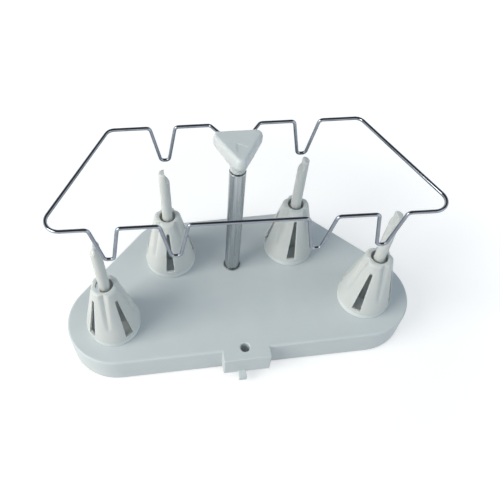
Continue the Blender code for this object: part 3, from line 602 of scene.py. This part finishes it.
def make_pins(finish):
    """The four tapered pins, each with a stepped tip."""
    below = SOCKET_DEPTH - GAP
    top = below + PIN_HEIGHT
    corners = [(0.0, top, 0.0), (PIN_TOP_RADIUS, top, PIN_DOME),
               (PIN_NECK_RADIUS, below + PIN_NECK_HEIGHT, 0.0), (PIN_FOOT_RADIUS, below, 0.0),
               (PIN_FOOT_RADIUS, 0.0, PIN_EDGE), (0.0, 0.0, 0.0)]
    body = turned("pin", softened(corners, False, steps=6), SMALL_SIDES, False)
    wide = 2 * PIN_TOP_RADIUS
    floor = top - PIN_STEP
    side = [(PIN_STEP_OFFSET, top + wide, 0.0),
            (PIN_STEP_OFFSET, floor + PIN_STEP_SLOPE, PIN_STEP_FILLET),
            (PIN_TOP_RADIUS + PIN_STEP_OFFSET, floor - PIN_STEP_SLOPE / 3, 0.0),
            (wide, floor, 0.0), (wide, top + wide, 0.0)]
    step = mesh_from(prism(softened(side, True, steps=5), -wide, wide), "pin_step")
    drill = cylinder((0.0, 0.0), PIN_SCREW_RADIUS + GAP, -GAP, PIN_SCREW_REACH, SMALL_SIDES)
    mesh = carved("spool_pin", body, [("DIFFERENCE", drill), ("DIFFERENCE", step)])
    low = PLATE_TOP - SOCKET_DEPTH + GAP
    for name, place in PINS.items():
        piece(f"tapered_pin_{name}", mesh, f"spool_pin_{name}", "stand", finish,
              (place.x, place.y, low), math.radians(PIN_TURNS[name]))


def make_discs(finish):
    """The four round seats under the cones."""
    hole = PIN_FOOT_RADIUS + GAP
    corners = [(hole, DISC_HEIGHT, 0.0), (DISC_RADIUS, DISC_HEIGHT, DISC_FILLET),
               (DISC_RADIUS, GAP, DISC_FILLET / 3), (hole, GAP, 0.0)]
    mesh = turned("cone_seat", softened(corners, True, steps=6), FINE_SIDES, True)
    for name, place in PINS.items():
        piece(f"cone_seat_{name}", mesh, f"seat_disc_{name}", "stand", finish,
              (place.x, place.y, PLATE_TOP))


def cone_side(height):
    """The radius of the cone's slope at a height."""
    share = (height - CONE_WALL) / (CONE_HEIGHT - CONE_SHOULDER - CONE_WALL)
    return CONE_RADIUS + (CONE_TOP_RADIUS - CONE_RADIUS) * share


def cone_profile():
    """The cone's wall, outer side down and then inner side up, and the number of outer points."""
    slope_top = CONE_HEIGHT - CONE_SHOULDER
    middle = (CONE_TOP_RADIUS - CONE_SHOULDER, slope_top)
    slope = math.atan2(CONE_RADIUS - CONE_TOP_RADIUS, slope_top)
    points = arc((CONE_MOUTH_RADIUS + CONE_EDGE, CONE_HEIGHT - CONE_EDGE), CONE_EDGE, math.pi,
                 math.pi / 2, CONE_EDGE_STEPS)
    points += arc(middle, CONE_SHOULDER, math.pi / 2, slope, CONE_SHOULDER_STEPS)
    start = Vector(points[-1])
    end = Vector((CONE_RADIUS, CONE_WALL))
    points += [tuple(start.lerp(end, i / CONE_ROWS)) for i in range(1, CONE_ROWS + 1)]
    points += arc((CONE_RADIUS - CONE_EDGE, CONE_EDGE), CONE_EDGE, 0.0, -math.pi / 2,
                  CONE_EDGE_STEPS)
    outer = len(points)
    points.append((CONE_RADIUS - CONE_WALL, 0.0))
    points += [(cone_side(height) - CONE_WALL, height) for height in (FLUTE_END, FLUTE_LOW)]
    points += [(CONE_TOP_RADIUS - CONE_WALL, slope_top),
               (CONE_TOP_RADIUS - CONE_SHOULDER, CONE_HEIGHT - CONE_TOP_WALL),
               (CONE_MOUTH_RADIUS, CONE_HEIGHT - CONE_TOP_WALL)]
    return points, outer


def fluted(radius, height, angle, outer):
    """The radius that the nearest flute leaves of a point of the cone's wall."""
    if height <= FLUTE_END:
        return radius
    start = min(1.0, (height - FLUTE_END) / (FLUTE_LOW - FLUTE_END))
    share = (height - FLUTE_LOW) / (CONE_HEIGHT - CONE_SHOULDER - FLUTE_LOW)
    share = min(1.0, max(0.0, share))
    half = start * (FLUTE_LOW_HALF + (FLUTE_TOP_HALF - FLUTE_LOW_HALF) * share)
    depth = start * (FLUTE_LOW_DEPTH + (FLUTE_TOP_DEPTH - FLUTE_LOW_DEPTH) * share)
    side = cone_side(height)
    across = side * abs(angle % (math.pi / 2) - math.pi / 4)
    across = math.hypot(across, FLUTE_FLOOR)
    depth *= max(0.0, 1.0 - across / half)
    if not outer:
        side -= CONE_WALL
        depth *= FLUTE_INNER_SHARE
    return min(radius, side - depth)


def make_cones(finish):
    """The four hollow cones, each with four tapered windows and four flutes."""
    profile, outer = cone_profile()

    def reshape(index, radius, height, angle):
        return fluted(radius, height, angle, index < outer)

    body = turned("cone", profile, FINE_SIDES, True, reshape)
    windows = []
    half_low = WINDOW_LOW_WIDTH / 2
    half_high = WINDOW_HIGH_WIDTH / 2
    corners = [(-half_low, WINDOW_LOW, WINDOW_LOW_EDGE), (half_low, WINDOW_LOW, WINDOW_LOW_EDGE),
               (half_high, WINDOW_HIGH, WINDOW_TOP_EDGE),
               (-half_high, WINDOW_HIGH, WINDOW_TOP_EDGE)]
    for i in range(4):
        bm = prism(softened(corners, True), -CONE_MOUTH_RADIUS, -1.5 * CONE_RADIUS)
        bmesh.ops.rotate(bm, cent=(0.0, 0.0, 0.0), matrix=Matrix.Rotation(i * math.pi / 2, 3, "Z"),
                         verts=bm.verts)
        windows.append(("DIFFERENCE", mesh_from(bm, "window")))
    mesh = carved("hollow_cone", body, windows)
    for name, place in PINS.items():
        piece(f"hollow_cone_{name}", mesh, f"spool_cone_{name}", f"cone_{name}", finish,
              (place.x, place.y, PLATE_TOP + DISC_HEIGHT + GAP),
              math.radians(CONE_TURNS[name]))


def tube(radius, low, high, lip_bore):
    """A tube's section whose upper end is rolled in to a narrower lip."""
    bore = radius - TUBE_WALL
    lip = high - LIP_HEIGHT
    corners = [(lip_bore, high, TUBE_EDGE), (radius, high, 2 * TUBE_EDGE), (radius, low, 0.0),
               (bore, low, 0.0), (bore, lip, 0.0), (lip_bore, lip, 0.0)]
    return softened(corners, True)


def make_post(metal):
    """The three tubes of the post and the ring round its foot."""
    stages = (("outer", POST_RADIUS, MIDDLE_RADIUS, "stand"),
              ("middle", MIDDLE_RADIUS, ROD_RADIUS, "middle"))
    for name, radius, inner, body in stages:
        low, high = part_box(f"post_{name}_tube")
        profile = tube(radius, low.z, high.z, inner + GAP)
        mesh = turned(f"{name}_tube", profile, ROUND_SIDES, True)
        piece(f"{name}_tube", mesh, f"post_{name}_tube", body, metal, POST)
    low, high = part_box("post_inner_rod")
    corners = [(0.0, high.z, 0.0), (ROD_RADIUS, high.z, ROD_RADIUS / 5), (ROD_RADIUS, low.z, 0.0),
               (0.0, low.z, 0.0)]
    mesh = turned("inner_rod", softened(corners, False), ROUND_SIDES, False)
    piece("inner_rod", mesh, "post_inner_rod", "rod", metal, POST)
    inner = POST_RADIUS + GAP
    outer = inner + FOOT_RING_WIDTH
    low = PLATE_TOP + GAP
    top = low + FOOT_RING_HEIGHT
    corners = [(inner, top, 0.0), (outer, top, FOOT_RING_WIDTH / 2), (outer, low, 0.0),
               (inner, low, 0.0)]
    mesh = turned("foot_ring", softened(corners, True), ROUND_SIDES, True)
    piece("foot_ring", mesh, "post_foot_ring", "stand", metal, POST)


def head_outline(inset):
    """The head's rounded triangle, moved inwards by inset, counter-clockwise."""
    corners = [Vector((-HEAD_HALF_WIDTH, HEAD_BACK)), Vector((0.0, -HEAD_FRONT)),
               Vector((HEAD_HALF_WIDTH, HEAD_BACK))]
    points = []
    for i, corner in enumerate(corners):
        before = (corner - corners[i - 1]).normalized()
        after = (corners[(i + 1) % 3] - corner).normalized()
        half = before.angle(after) / 2
        inward = (after - before).normalized()
        middle = corner + inward * (HEAD_CORNER_RADIUS / math.cos(half))
        start = math.atan2(before.y, before.x) - math.pi / 2
        points += arc(middle, HEAD_CORNER_RADIUS - inset, start, start + 2 * half,
                      HEAD_CORNER_STEPS)
        ahead = corners[(i + 1) % 3]
        normal = Vector((after.y, -after.x))
        for k in range(HEAD_SIDE_STEPS + 1):
            share = HEAD_SIDE_START + HEAD_SIDE_SHARE * k / HEAD_SIDE_STEPS
            points.append(tuple(corner.lerp(ahead, share) - normal * inset))
    return [Vector(p) for p in points]


def head_rings():
    """The heights and outlines of the head, from the neck up to the plate's edge."""
    neck_top = NECK_LOW + NECK_LENGTH
    wall_low = HEAD_TOP - HEAD_WALL
    outline = head_outline(0.0)
    circle = [p.normalized() * NECK_RADIUS for p in outline]
    edge = [p.normalized() * (NECK_RADIUS - NECK_EDGE) for p in outline]
    rings = [(NECK_LOW, edge), (NECK_LOW + NECK_EDGE, circle)]
    for i in range(HEAD_RINGS + 1):
        share = i / HEAD_RINGS
        blend = share * share * (3 - 2 * share)
        ring = [a.lerp(b, blend) for a, b in zip(circle, outline)]
        rings.append((neck_top + (wall_low - neck_top) * share, ring))
    for i in range(HEAD_EDGE_RINGS + 1):
        angle = i / HEAD_EDGE_RINGS * math.pi / 2
        drop = HEAD_EDGE_DROP * (1 - math.sin(angle))
        rings.append((HEAD_TOP - drop, head_outline(HEAD_EDGE * (1 - math.cos(angle)))))
    return rings


def wire_route():
    """The wire's corners from its left end to its right end, each with its bend radius."""
    height = WIRE_HEIGHT
    left = [(-WIRE_END[0], WIRE_END[1], height, 0.0)]
    left.append((-WIRE_JOG_X, WIRE_BACK, height, JOG_BEND_RADIUS))
    left += notch(-BACK_NOTCH_X, WIRE_BACK, 1)
    left.append((-WIRE_BACK_HALF, WIRE_BACK, height, BACK_BEND_RADIUS))
    left.append((-WIRE_FRONT_HALF, -WIRE_FRONT, height, FRONT_BEND_RADIUS))
    left += notch(-OUTER_NOTCH_X, -WIRE_FRONT, -1)
    left += notch(-INNER_NOTCH_X, -WIRE_FRONT, -1)
    right = [(-x, y, z, radius) for x, y, z, radius in reversed(left)]
    return left + right


def notch(x, y, first):
    """The four corners of one V notch; first is 1 where the wire comes from +X."""
    low = WIRE_HEIGHT - NOTCH_DEPTH
    places = [(first * NOTCH_TOP_HALF, WIRE_HEIGHT), (first * NOTCH_BOTTOM_HALF, low),
              (-first * NOTCH_BOTTOM_HALF, low), (-first * NOTCH_TOP_HALF, WIRE_HEIGHT)]
    return [(x + across, y, z, NOTCH_BEND_RADIUS) for across, z in places]


def rounded(route):
    """The route's points with each corner replaced by an arc of its bend radius."""
    points = [Vector(route[0][:3])]
    for i in range(1, len(route) - 1):
        corner = Vector(route[i][:3])
        before = Vector(route[i - 1][:3]) - corner
        after = Vector(route[i + 1][:3]) - corner
        turn = math.pi - before.angle(after)
        back = route[i][3] * math.tan(turn / 2)
        back = min(back, before.length * WIRE_SHARE, after.length * WIRE_SHARE)
        radius = back / math.tan(turn / 2)
        start = corner + before.normalized() * back
        inward = (before.normalized() + after.normalized()).normalized()
        middle = corner + inward * (radius / math.cos(turn / 2))
        axis = (start - middle).cross(corner - middle).normalized()
        steps = max(2, round(turn / BEND_STEP))
        for k in range(steps + 1):
            part = Matrix.Rotation(turn * k / steps, 3, axis)
            points.append(middle + part @ (start - middle))
    points.append(Vector(route[-1][:3]))
    return points


def make_head(finish):
    """The guide head, lofted from its round neck to its triangular plate, with its sockets cut."""
    bm = bmesh.new()
    loops = []
    for height, outline in head_rings():
        loops.append([bm.verts.new((p.x, p.y, height)) for p in outline])
    count = len(loops[0])
    for lower, upper in zip(loops, loops[1:]):
        for i in range(count):
            j = (i + 1) % count
            bm.faces.new((lower[i], lower[j], upper[j], upper[i]))
    bm.faces.new(loops[-1])
    bm.faces.new(list(reversed(loops[0])))
    body = mesh_from(bm, "head")
    socket_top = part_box("post_middle_tube")[1].z + GAP
    rod_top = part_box("post_inner_rod")[1].z + GAP
    steps = [cylinder((0.0, 0.0), MIDDLE_RADIUS + GAP, NECK_LOW - NECK_RADIUS, socket_top)]
    steps.append(cylinder((0.0, 0.0), ROD_RADIUS + GAP, NECK_LOW, rod_top))
    for side in (-1, 1):
        outer = Vector((side * WIRE_JOG_X, WIRE_BACK, WIRE_HEIGHT))
        inner = Vector((side * WIRE_END[0], WIRE_END[1], WIRE_HEIGHT))
        inner += (inner - outer).normalized() * GAP
        steps.append(rod_between(inner, outer, WIRE_RADIUS + GAP))
    mark = cylinder((0.0, 0.0), MARK_RADIUS, HEAD_TOP - MARK_DEPTH, HEAD_TOP + MARK_DEPTH, 3)
    mark.transform(Matrix.Rotation(-math.pi / 2, 4, "Z"))
    mark.transform(Matrix.Translation((0.0, -MARK_FORWARD, 0.0)))
    steps.append(mark)
    mesh = carved("triangle_head", body, [("DIFFERENCE", step) for step in steps])
    piece("triangle_head", mesh, "guide_head", "guide", finish, POST, GUIDE_TURN,
          sharp=HEAD_SHARP)


def make_wire(finish):
    """The wire guide: one bent wire with six V notches."""
    curve = bpy.data.curves.new("notched_wire", "CURVE")
    curve.dimensions = "3D"
    curve.bevel_depth = WIRE_RADIUS
    curve.bevel_resolution = WIRE_RINGS
    curve.use_fill_caps = True
    points = rounded(wire_route())
    spline = curve.splines.new("POLY")
    spline.points.add(len(points) - 1)
    for point, place in zip(spline.points, points):
        point.co = (*place, 1.0)
    draft = add_cutter("wire_draft", curve)
    graph = bpy.context.evaluated_depsgraph_get()
    bm = bmesh.new()
    bm.from_mesh(draft.evaluated_get(graph).to_mesh())
    bpy.data.objects.remove(draft, do_unlink=True)
    bmesh.ops.remove_doubles(bm, verts=bm.verts, dist=WIRE_RADIUS / 1000)
    piece("notched_wire", mesh_from(bm, "notched_wire"), "wire_guide", "guide", finish,
          POST, GUIDE_TURN)


class Nodes:
    """A small helper that adds and links shader nodes."""

    def __init__(self, name):
        self.material = bpy.data.materials.new(name)
        self.material.use_nodes = True
        self.tree = self.material.node_tree
        self.shader = self.tree.nodes["Principled BSDF"]
        self.places = self.add("ShaderNodeTexCoord").outputs["Object"]

    def add(self, kind, **settings):
        made = self.tree.nodes.new(kind)
        for key, value in settings.items():
            setattr(made, key, value)
        return made

    def link(self, start, end):
        self.tree.links.new(start, end)

    def noise(self, scale, detail=3.0, stretch=(1.0, 1.0, 1.0)):
        """A noise value over the object, in features per metre, stretched along its axes."""
        mapping = self.add("ShaderNodeMapping")
        mapping.inputs["Scale"].default_value = stretch
        self.link(self.places, mapping.inputs["Vector"])
        made = self.add("ShaderNodeTexNoise")
        made.inputs["Scale"].default_value = scale
        made.inputs["Detail"].default_value = detail
        self.link(mapping.outputs["Vector"], made.inputs["Vector"])
        return made.outputs["Fac"]

    def ranged(self, value, low, high, start=0.3, end=0.7):
        """The value spread from start..end to low..high."""
        made = self.add("ShaderNodeMapRange")
        made.inputs["From Min"].default_value = start
        made.inputs["From Max"].default_value = end
        made.inputs["To Min"].default_value = low
        made.inputs["To Max"].default_value = high
        self.link(value, made.inputs["Value"])
        return made.outputs["Result"]

    def blend(self, value, first, second):
        """A colour between two colours."""
        made = self.add("ShaderNodeMix", data_type="RGBA")
        made.inputs["A"].default_value = (*first, 1.0)
        made.inputs["B"].default_value = (*second, 1.0)
        self.link(value, made.inputs["Factor"])
        return made.outputs["Result"]

    def bump(self, value, distance, strength=1.0, under=None):
        """A surface normal that rises and falls with the value, over the normal under it."""
        made = self.add("ShaderNodeBump")
        made.inputs["Strength"].default_value = strength
        made.inputs["Distance"].default_value = distance
        self.link(value, made.inputs["Height"])
        if under is not None:
            self.link(under, made.inputs["Normal"])
        return made.outputs["Normal"]


def plastic(name, colours, roughness, grain, depth=0.0):
    """Moulded plastic: clouds of colour, uneven gloss, faint sink marks and a fine grain."""
    made = Nodes(name)
    clouds = made.ranged(made.noise(CLOUD_SCALE, 4.0), 0.0, 1.0)
    made.link(made.blend(clouds, *colours), made.shader.inputs["Base Color"])
    gloss = made.ranged(made.noise(GLOSS_SCALE, 2.0), roughness - GLOSS_CHANGE,
                        roughness + GLOSS_CHANGE)
    made.link(gloss, made.shader.inputs["Roughness"])
    sinks = made.bump(made.noise(SINK_SCALE, 1.0), SINK_HEIGHT, 0.5)
    fine = made.bump(made.noise(GRAIN_SCALE, 2.0), grain, 0.6, sinks)
    made.link(fine, made.shader.inputs["Normal"])
    made.shader.inputs["Specular IOR Level"].default_value = PLASTIC_SPECULAR
    if depth > 0.0:
        made.shader.inputs["Subsurface Weight"].default_value = 1.0
        made.shader.inputs["Subsurface Radius"].default_value = PALE_SPREAD
        made.shader.inputs["Subsurface Scale"].default_value = depth
    return made.material


def metal(name, colours, roughness, stretch, scale):
    """Drawn metal: streaks along the stretch, in colour, gloss and height."""
    made = Nodes(name)
    streaks = made.noise(scale, 4.0, stretch)
    shades = made.blend(made.ranged(streaks, 0.0, 1.0), *colours)
    made.link(shades, made.shader.inputs["Base Color"])
    fine = made.noise(scale * 2.0, 2.0, stretch)
    gloss = made.ranged(fine, roughness * METAL_GLOSS[0], roughness * METAL_GLOSS[1])
    made.link(gloss, made.shader.inputs["Roughness"])
    made.link(made.bump(streaks, STREAK_HEIGHT, 0.5), made.shader.inputs["Normal"])
    made.shader.inputs["Metallic"].default_value = 1.0
    return made.material


def rubber(name):
    """Matt black rubber with a fine pebbled skin and a little dust."""
    made = Nodes(name)
    dust = made.ranged(made.noise(DUST_SCALE, 5.0), 0.0, 1.0, start=0.45, end=0.8)
    made.link(made.blend(dust, *RUBBER_COLOURS), made.shader.inputs["Base Color"])
    gloss = made.ranged(made.noise(RUBBER_GLOSS_SCALE), *RUBBER_ROUGHNESS)
    made.link(gloss, made.shader.inputs["Roughness"])
    made.link(made.bump(made.noise(PEBBLE_SCALE, 2.0), PEBBLE_HEIGHT), made.shader.inputs["Normal"])
    return made.material


def repaint(node, finish):
    """Gives a CAD node that stays as it is a better material."""
    mesh = frame["nodes"][node].data
    mesh.materials.clear()
    mesh.materials.append(finish)


def background_share(tree):
    """1 for camera, glossy and transmission rays, which see white, and 0 for rays that light."""
    path = tree.nodes.new("ShaderNodeLightPath")
    first = tree.nodes.new("ShaderNodeMath")
    first.operation = "MAXIMUM"
    tree.links.new(path.outputs["Is Camera Ray"], first.inputs[0])
    tree.links.new(path.outputs["Is Glossy Ray"], first.inputs[1])
    second = tree.nodes.new("ShaderNodeMath")
    second.operation = "MAXIMUM"
    tree.links.new(first.outputs["Value"], second.inputs[0])
    tree.links.new(path.outputs["Is Transmission Ray"], second.inputs[1])
    return second.outputs["Value"]


def floor_glow(tree):
    """The floor's own light, which rises away from the middle until the floor is plain white."""
    place = tree.nodes.new("ShaderNodeTexCoord")
    distance = tree.nodes.new("ShaderNodeVectorMath")
    distance.operation = "LENGTH"
    tree.links.new(place.outputs["Object"], distance.inputs[0])
    glow = tree.nodes.new("ShaderNodeMapRange")
    glow.interpolation_type = "SMOOTHSTEP"
    glow.inputs["From Min"].default_value = GLOW_START
    glow.inputs["From Max"].default_value = GLOW_END
    glow.inputs["To Min"].default_value = FLOOR_GLOW
    glow.inputs["To Max"].default_value = 1.0
    tree.links.new(distance.outputs["Value"], glow.inputs["Value"])
    return glow.outputs["Result"]


def make_floor():
    """A pale floor that looks white where nothing shades it and keeps the stand's soft shadow."""
    bm = bmesh.new()
    bmesh.ops.create_circle(bm, cap_ends=True, radius=FLOOR_RADIUS, segments=FLOOR_SIDES)
    floor = bpy.data.objects.new("floor", mesh_from(bm, "floor"))
    bpy.context.scene.collection.objects.link(floor)
    made = bpy.data.materials.new("pale_floor")
    made.use_nodes = True
    tree = made.node_tree
    tree.nodes.remove(tree.nodes["Principled BSDF"])
    diffuse = tree.nodes.new("ShaderNodeBsdfDiffuse")
    diffuse.inputs["Color"].default_value = (*FLOOR_COLOUR, 1.0)
    glow = tree.nodes.new("ShaderNodeEmission")
    glow.inputs["Color"].default_value = (*WHITE, 1.0)
    strength = tree.nodes.new("ShaderNodeMath")
    strength.operation = "MULTIPLY"
    tree.links.new(background_share(tree), strength.inputs[0])
    tree.links.new(floor_glow(tree), strength.inputs[1])
    tree.links.new(strength.outputs["Value"], glow.inputs["Strength"])
    both = tree.nodes.new("ShaderNodeAddShader")
    tree.links.new(diffuse.outputs["BSDF"], both.inputs[0])
    tree.links.new(glow.outputs["Emission"], both.inputs[1])
    tree.links.new(both.outputs["Shader"], tree.nodes["Material Output"].inputs["Surface"])
    floor.data.materials.append(made)


def overhead(tree):
    """The white background's strength: 1, and less overhead for rays from glossy surfaces."""
    place = tree.nodes.new("ShaderNodeTexCoord")
    split = tree.nodes.new("ShaderNodeSeparateXYZ")
    tree.links.new(place.outputs["Generated"], split.inputs["Vector"])
    shade = tree.nodes.new("ShaderNodeMapRange")
    shade.interpolation_type = "SMOOTHSTEP"
    shade.inputs["From Min"].default_value = CEILING_START
    shade.inputs["From Max"].default_value = CEILING_END
    shade.inputs["To Max"].default_value = CEILING_SHADE
    tree.links.new(split.outputs["Z"], shade.inputs["Value"])
    path = tree.nodes.new("ShaderNodeLightPath")
    seen = tree.nodes.new("ShaderNodeMath")
    seen.operation = "MULTIPLY"
    tree.links.new(shade.outputs["Result"], seen.inputs[0])
    tree.links.new(path.outputs["Is Glossy Ray"], seen.inputs[1])
    rest = tree.nodes.new("ShaderNodeMath")
    rest.operation = "SUBTRACT"
    rest.inputs[0].default_value = 1.0
    tree.links.new(seen.outputs["Value"], rest.inputs[1])
    return rest.outputs["Value"]


def make_world():
    """Soft light from all sides, behind a white background whose ceiling glossy rays see darker."""
    world = bpy.data.worlds.new("studio")
    bpy.context.scene.world = world
    world.use_nodes = True
    tree = world.node_tree
    light = tree.nodes["Background"]
    light.inputs["Color"].default_value = (*WORLD_COLOUR, 1.0)
    light.inputs["Strength"].default_value = WORLD_LEVEL
    white = tree.nodes.new("ShaderNodeBackground")
    white.inputs["Color"].default_value = (*WHITE, 1.0)
    tree.links.new(overhead(tree), white.inputs["Strength"])
    mix = tree.nodes.new("ShaderNodeMixShader")
    tree.links.new(background_share(tree), mix.inputs["Fac"])
    tree.links.new(light.outputs["Background"], mix.inputs[1])
    tree.links.new(white.outputs["Background"], mix.inputs[2])
    tree.links.new(mix.outputs["Shader"], tree.nodes["World Output"].inputs["Surface"])


def make_lamp(name, place, size, power, colour):
    """A square soft box that faces the middle of the stand."""
    data = bpy.data.lights.new(name, "AREA")
    data.size = size
    data.energy = power
    data.color = colour
    lamp = bpy.data.objects.new(name, data)
    lamp.location = place
    target = Vector((0.0, 0.0, PLATE_TOP))
    lamp.rotation_euler = (target - lamp.location).to_track_quat("-Z", "Y").to_euler()
    bpy.context.scene.collection.objects.link(lamp)


def make_camera():
    """The photograph's camera."""
    azimuth = math.radians(CAMERA_AZIMUTH)
    elevation = math.radians(CAMERA_ELEVATION)
    roll = math.radians(CAMERA_ROLL)
    back = Vector((math.sin(azimuth) * math.cos(elevation),
                   -math.cos(azimuth) * math.cos(elevation), math.sin(elevation)))
    level = (-back).cross(Vector((0.0, 0.0, 1.0))).normalized()
    upright = level.cross(-back)
    right = level * math.cos(roll) + upright * math.sin(roll)
    up = upright * math.cos(roll) - level * math.sin(roll)
    data = bpy.data.cameras.new("camera")
    data.lens = CAMERA_LENS
    data.sensor_width = SENSOR_WIDTH
    data.shift_x, data.shift_y = CAMERA_SHIFT
    data.clip_start = CAMERA_CLIP
    camera = bpy.data.objects.new("camera", data)
    turn = Matrix((right, up, back)).transposed().to_4x4()
    camera.matrix_world = Matrix.Translation(CAMERA_TARGET + back * CAMERA_DISTANCE) @ turn
    bpy.context.scene.collection.objects.link(camera)
    bpy.context.scene.camera = camera


make_camera()
make_world()
make_floor()
make_lamp("key", *KEY_LAMP)
make_lamp("fill", *FILL_LAMP)

base_plastic = plastic("base_plastic_look", BASE_COLOURS, BASE_ROUGHNESS, COARSE_GRAIN)
pale_plastic = plastic("pale_plastic_look", PALE_COLOURS, PALE_ROUGHNESS, FINE_GRAIN, PALE_DEPTH)
tube_metal = metal("tube_metal_look", TUBE_COLOURS, TUBE_ROUGHNESS, DRAWN, STREAK_SCALE)
# The wire's material carries painted dark reflection in its darkened colours.
wire_metal = metal("wire_metal_look", WIRE_COLOURS_WITH_PAINTED_REFLECTION, WIRE_ROUGHNESS, EVEN, WIRE_STREAK_SCALE)
screw_metal = metal("screw_metal_look", SCREW_COLOURS, SCREW_ROUGHNESS, EVEN, STREAK_SCALE)
head_plastic = plastic("head_plastic_look", HEAD_COLOURS, PALE_ROUGHNESS, FINE_GRAIN, PALE_DEPTH)
disc_plastic = plastic("disc_plastic_look", DISC_COLOURS, DISC_ROUGHNESS, COARSE_GRAIN)
bush_plastic = plastic("bush_plastic_look", BUSH_COLOURS, BUSH_ROUGHNESS, COARSE_GRAIN)
foot_rubber = rubber("foot_rubber_look")

make_base(base_plastic)
make_feet(foot_rubber)
make_pins(pale_plastic)
make_discs(disc_plastic)
make_cones(pale_plastic)
make_post(tube_metal)
make_head(head_plastic)
make_wire(wire_metal)
for node in ("post_screw", *(f"pin_screw_{name}" for name in QUARTERS)):
    repaint(node, screw_metal)
for node in ("post_plug", "middle_tube_bush", "inner_rod_bush"):
    repaint(node, bush_plastic)

bpy.context.scene.view_settings.view_transform = "Standard"
